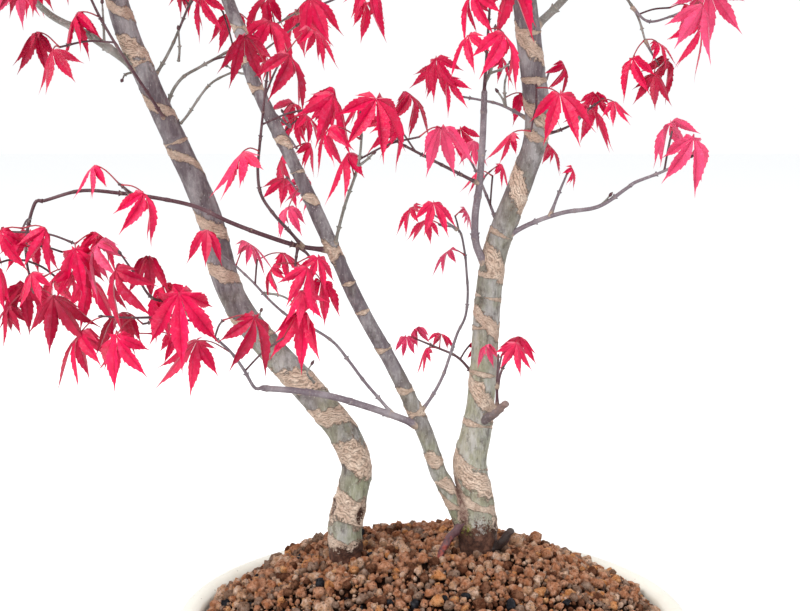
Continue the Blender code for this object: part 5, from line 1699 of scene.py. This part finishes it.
def scattered_grains(settings, limbs):
    """Where each grain lies on the mound, and its radius, large ones first."""
    draw = random.Random(11)
    reach = inner_wall() - 0.0012
    depth = reach * POT_DEPTH / POT_LENGTH
    feet = [(limbs[name][0][0], limbs[name][1][0]) for name in ("left_trunk", "right_trunk")]
    taken = {}
    grains = []
    cell = settings.big_grain * 2
    for scale, tries, closeness in GRAIN_SIZES:
        for attempt in range(tries):
            turn = draw.uniform(0, math.tau)
            share = math.sqrt(draw.random())
            radius = max(settings.small_grain, settings.big_grain * scale * draw.uniform(0.78, 1.0))
            x, y = (reach - radius) * share * math.cos(turn), (depth - radius) * share * math.sin(turn)
            if any(math.hypot(x - foot[0], y - foot[1]) < girth * 0.8 for foot, girth in feet):
                continue
            key = (int(x // cell), int(y // cell))
            near = [other for dx in (-1, 0, 1) for dy in (-1, 0, 1)
                    for other in taken.get((key[0] + dx, key[1] + dy), ())]
            if any(math.hypot(x - ox, y - oy) < (radius + other) * closeness for ox, oy, other in near):
                continue
            taken.setdefault(key, []).append((x, y, radius))
            grains.append((x, y, radius))
    return grains, draw


class MAPLE_OT_soil(bpy.types.Operator):
    """Build the mound of soil and the grains that cover it"""
    bl_idname = "maple.soil"
    bl_label = "Soil"

    def execute(self, context):
        settings = context.scene.maple_soil
        limbs = limb_lines()
        colours = {kind: tuple(getattr(settings, kind)) for kind in GRAIN_KINDS}
        bed = turned("soil_bed", soil_profile(), 96)
        for vert in bed.vertices:
            if vert.co.z > SOIL_EDGE - GAP:
                vert.co.z = soil_height(vert.co.x, vert.co.y) - BED_DROP - BED_GAP
        # Painted shade: the bed under the grains is nearly black, a dark sheet that stands in for the shade in the
        # gaps between the grains.
        painted_gap_shade_look = grain_material("soil_bed_painted_shade", tuple(part * 0.10 for part in colours["umber"]),
                                  tuple(part * 0.25 for part in colours["umber"]))
        piece = new_object("soil_bed", bed, painted_gap_shade_look)
        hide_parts("soil")
        grains, draw = scattered_grains(settings, limbs)
        coarse, fine = grain_patterns(1), grain_patterns(2)
        kinds = {kind: Joined() for kind in GRAIN_KINDS}
        for x, y, radius in grains:
            places, faces = (coarse if radius < COARSE_GRAIN else fine)[draw.randrange(GRAIN_SHAPES)]
            turn = np.array(Euler([draw.uniform(0, math.tau) for axis in range(3)]).to_matrix())
            squash = np.array([draw.uniform(0.82, 1.12) for axis in range(3)])
            sunk = draw.uniform(0.1, 0.95)
            middle = np.array((x, y, soil_height(x, y) - BED_DROP + radius * sunk))
            kind = draw.choices(GRAIN_KINDS, GRAIN_SHARES)[0]
            kinds[kind].add((places * squash * radius) @ turn.T + middle, faces)
        for kind, joined in kinds.items():
            look = grain_material(kind + "_soil_grain", colours[kind], GRAIN_LIGHTS[kind])
            mesh = joined.mesh(kind + "_soil_grains", math.radians(60))
            new_object(kind + "_soil_grains", mesh, look)
        return {"FINISHED"}


# Pot

POT_LENGTH = POT_HIGH.x - POT_LOW.x
POT_DEPTH = POT_HIGH.y - POT_LOW.y
POT_HEIGHT = POT_HIGH.z - POT_LOW.z
LIP_WIDTH = 0.0135
WALL = 0.008
FLOOR = 0.008
BODY_INSET = 0.009
FOOT_INSET = 0.026
FOOT_HEIGHT = 0.005
FOOT_STEP = 0.003
FILLET = 0.010
LIP_NECK = 0.002
BELLY_TOP = 0.78
BELLY_DROP = 0.62
SOIL_EDGE = 0.052
SOIL_PEAK = 0.090
SOIL_FULLNESS = 1.3
SOIL_RINGS = 12
SOIL_STEPS = 32
LUMP_HEIGHT = 0.0085
LUMP_CELL = 0.012
BED_RINGS = 36
BED_DROP = 0.0014
BED_GAP = 0.0005


SOIL_POINTS = {}


def inner_wall():
    """The radius of the pot's inner wall, along its long axis."""
    return POT_LENGTH / 2 - LIP_WIDTH


def lumpy_height(x, y):
    """The height of the soil mound with its lumps, at one of the points that the solid has."""
    reach = inner_wall()
    share = (x / reach) ** 2 + (y / (reach * POT_DEPTH / POT_LENGTH)) ** 2
    lump = LUMP_HEIGHT * max(0.0, noise.noise(Vector((x, y, 0.0)) / LUMP_CELL)) if share < 0.99 else 0.0
    return SOIL_EDGE + (SOIL_PEAK - SOIL_EDGE) * (1 - min(share, 1.0) ** SOIL_FULLNESS) + lump


def soil_height(x, y):
    """The height of the lumpy soil at any point, between the nearest four points of the solid."""
    reach = inner_wall()
    depth = reach * POT_DEPTH / POT_LENGTH
    ring = min(math.hypot(x / reach, y / depth), 1.0) * SOIL_RINGS
    step = (math.atan2(y / depth, x / reach) / math.tau % 1.0) * SOIL_STEPS
    low_ring, low_step = min(int(ring), SOIL_RINGS - 1), int(step)
    corners = []
    for at_ring in (low_ring, low_ring + 1):
        pair = []
        for at_step in (low_step, low_step + 1):
            key = (at_ring, at_step % SOIL_STEPS)
            if key not in SOIL_POINTS:
                turn = math.tau * key[1] / SOIL_STEPS
                far = at_ring / SOIL_RINGS
                SOIL_POINTS[key] = lumpy_height(reach * far * math.cos(turn), depth * far * math.sin(turn))
            pair.append(SOIL_POINTS[key])
        corners.append(pair[0] + (pair[1] - pair[0]) * (step - low_step))
    return corners[0] + (corners[1] - corners[0]) * (ring - low_ring)


def soil_profile():
    """The soil's mound and its underside, inside the pot."""
    edge = inner_wall() - GAP
    foot = POT_LENGTH / 2 - FOOT_INSET - WALL - FILLET - GAP * 2
    rings = [edge * index / BED_RINGS for index in range(BED_RINGS + 1)]
    return [(far, SOIL_EDGE) for far in rings] + [(foot, FLOOR + GAP), (0.0, FLOOR + GAP)]


def arc(centre, radii, start, end, points):
    """Points on part of an oval, between two angles in degrees from +X."""
    turns = [math.radians(start + (end - start) * index / (points - 1)) for index in range(points)]
    return [(centre[0] + radii[0] * math.cos(turn), centre[1] + radii[1] * math.sin(turn)) for turn in turns]


def turned(name, profile, steps):
    """A closed body spun from a profile about the Z axis and squeezed to the pot's oval."""
    shape = bmesh.new()
    corners = [shape.verts.new((far, 0.0, height)) for far, height in profile]
    edges = [shape.edges.new(pair) for pair in zip(corners, corners[1:])]
    bmesh.ops.spin(shape, geom=corners + edges, cent=(0, 0, 0), axis=(0, 0, 1), dvec=(0, 0, 0),
                   angle=math.tau, steps=steps, use_merge=True)
    bmesh.ops.remove_doubles(shape, verts=shape.verts, dist=0.00002)
    bmesh.ops.scale(shape, vec=(1.0, POT_DEPTH / POT_LENGTH, 1.0), verts=shape.verts)
    bmesh.ops.recalc_face_normals(shape, faces=shape.faces)
    mesh = bpy.data.meshes.new(name)
    shape.to_mesh(mesh)
    shape.free()
    mesh.shade_smooth()
    mesh.set_sharp_from_angle(angle=math.radians(40))
    return mesh


class MAPLE_OT_pot(bpy.types.Operator):
    """Build the oval pot with its rounded lip and stepped foot"""
    bl_idname = "maple.pot"
    bl_label = "Pot"

    def execute(self, context):
        settings = context.scene.maple_pot
        rim = POT_LENGTH / 2
        body = rim - BODY_INSET
        foot = rim - FOOT_INSET
        inner_foot = foot - WALL - FILLET
        half_lip = settings.lip_thickness / 2
        profile = [(0.0, FLOOR), (inner_foot, FLOOR)]
        profile += arc((inner_foot, FLOOR + FILLET), (FILLET, FILLET), -80, -10, 8)
        profile += arc((rim - LIP_WIDTH / 2, POT_HEIGHT - half_lip), (LIP_WIDTH / 2, half_lip), 180, -55, 26)
        profile += arc((body + 0.0016, POT_HEIGHT - settings.lip_thickness - LIP_NECK), (0.0016, 0.0016), 120, 180, 5)
        profile += [(body - (body - foot) * share ** 2, POT_HEIGHT * (BELLY_TOP - BELLY_DROP * share))
                    for share in (0.15, 0.3, 0.42, 0.54, 0.66, 0.76, 0.86, 0.94, 1.0)]
        profile += [(foot + 0.0002, FOOT_HEIGHT + 0.0006), (foot - 0.0006, FOOT_HEIGHT)]
        profile += [(foot - FOOT_STEP, FOOT_HEIGHT - 0.0008), (foot - FOOT_STEP, 0.0008),
                    (foot - FOOT_STEP - 0.0008, 0.0), (0.0, 0.0)]
        piece = new_object("glazed_pot", turned("glazed_pot", profile, 160), glaze_material(settings))
        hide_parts("pot")
        return {"FINISHED"}


# Stage

EYE = Vector((-0.017, -0.59088, 0.32319))
AIM = Vector((-0.017, 0.0, 0.219))


def facing(place, target):
    return (Vector(target) - Vector(place)).to_track_quat("-Z", "Y").to_euler()


def add_area_light(name, place, power, size, colour):
    light = bpy.data.lights.new(name, "AREA")
    light.shape = "DISK"
    light.size = size
    light.energy = power
    light.color = colour
    lamp = bpy.data.objects.new(name, light)
    lamp.location = place
    lamp.rotation_euler = facing(place, (0.0, 0.0, 0.25))
    bpy.context.scene.collection.objects.link(lamp)


class MAPLE_OT_stage(bpy.types.Operator):
    """Set the floor, the soft lights and the camera"""
    bl_idname = "maple.stage"
    bl_label = "Stage"

    def execute(self, context):
        settings = context.scene.maple_stage
        shape = bmesh.new()
        bmesh.ops.create_grid(shape, x_segments=1, y_segments=1, size=6.0)
        mesh = bpy.data.meshes.new("studio_floor")
        shape.to_mesh(mesh)
        shape.free()
        floor = bpy.data.objects.new("studio_floor", mesh)
        context.scene.collection.objects.link(floor)
        nodes = Nodes("studio_floor_paper", 0.9, 0.1)
        mesh.materials.append(nodes.finish(tuple(settings.floor_colour)))

        world = bpy.data.worlds.new("studio_sky")
        world.use_nodes = True
        sky = world.node_tree.nodes["Background"]
        sky.inputs["Color"].default_value = (0.975, 0.99, 1.0, 1.0)
        sky.inputs["Strength"].default_value = settings.sky
        context.scene.world = world

        add_area_light("key_light", (-0.9, -1.1, 1.6), settings.key, 0.9, (1.0, 0.985, 0.96))
        add_area_light("top_light", (0.0, 0.1, 1.8), settings.top, 1.3, (1.0, 1.0, 1.0))
        add_area_light("fill_light", (1.2, -0.8, 0.8), settings.fill, 1.2, (0.95, 0.98, 1.0))

        camera = bpy.data.cameras.new("camera")
        camera.lens = settings.lens
        camera.sensor_width = 36.0
        camera.clip_start = 0.01
        eye = bpy.data.objects.new("camera", camera)
        eye.location = EYE
        eye.rotation_euler = facing(EYE, AIM)
        context.scene.collection.objects.link(eye)
        context.scene.camera = eye
        context.scene.view_settings.view_transform = "Standard"
        return {"FINISHED"}


# Add-on

SETTINGS = {
    "maple_pot": PotSettings, "maple_soil": SoilSettings, "maple_bark": BarkSettings,
    "maple_twigs": TwigSettings, "maple_leaves": LeafSettings, "maple_stage": StageSettings,
}
OPERATORS = (MAPLE_OT_pot, MAPLE_OT_soil, MAPLE_OT_trunks, MAPLE_OT_boughs, MAPLE_OT_twigs,
             MAPLE_OT_stalks, MAPLE_OT_leaves, MAPLE_OT_stage)


class MAPLE_PT_panel(bpy.types.Panel):
    """The tree's pieces and their settings"""
    bl_idname = "MAPLE_PT_panel"
    bl_label = "Bonsai Maple"
    bl_space_type = "VIEW_3D"
    bl_region_type = "UI"
    bl_category = "Bonsai Maple"

    def draw(self, context):
        for operator in OPERATORS:
            self.layout.operator(operator.bl_idname)
        for name, group in SETTINGS.items():
            box = self.layout.box()
            for field in group.__annotations__:
                box.prop(getattr(context.scene, name), field)


def register():
    for group in SETTINGS.values():
        bpy.utils.register_class(group)
    for operator in OPERATORS:
        bpy.utils.register_class(operator)
    bpy.utils.register_class(MAPLE_PT_panel)
    for name, group in SETTINGS.items():
        setattr(bpy.types.Scene, name, bpy.props.PointerProperty(type=group))


def unregister():
    for name in SETTINGS:
        delattr(bpy.types.Scene, name)
    bpy.utils.unregister_class(MAPLE_PT_panel)
    for operator in reversed(OPERATORS):
        bpy.utils.unregister_class(operator)
    for group in reversed(list(SETTINGS.values())):
        bpy.utils.unregister_class(group)


def main():
    register()
    bpy.ops.maple.pot()
    bpy.ops.maple.soil()
    bpy.ops.maple.trunks()
    bpy.ops.maple.boughs()
    bpy.ops.maple.twigs()
    bpy.ops.maple.stalks()
    bpy.ops.maple.leaves()
    bpy.ops.maple.stage()


if __name__ == "__main__":
    main()
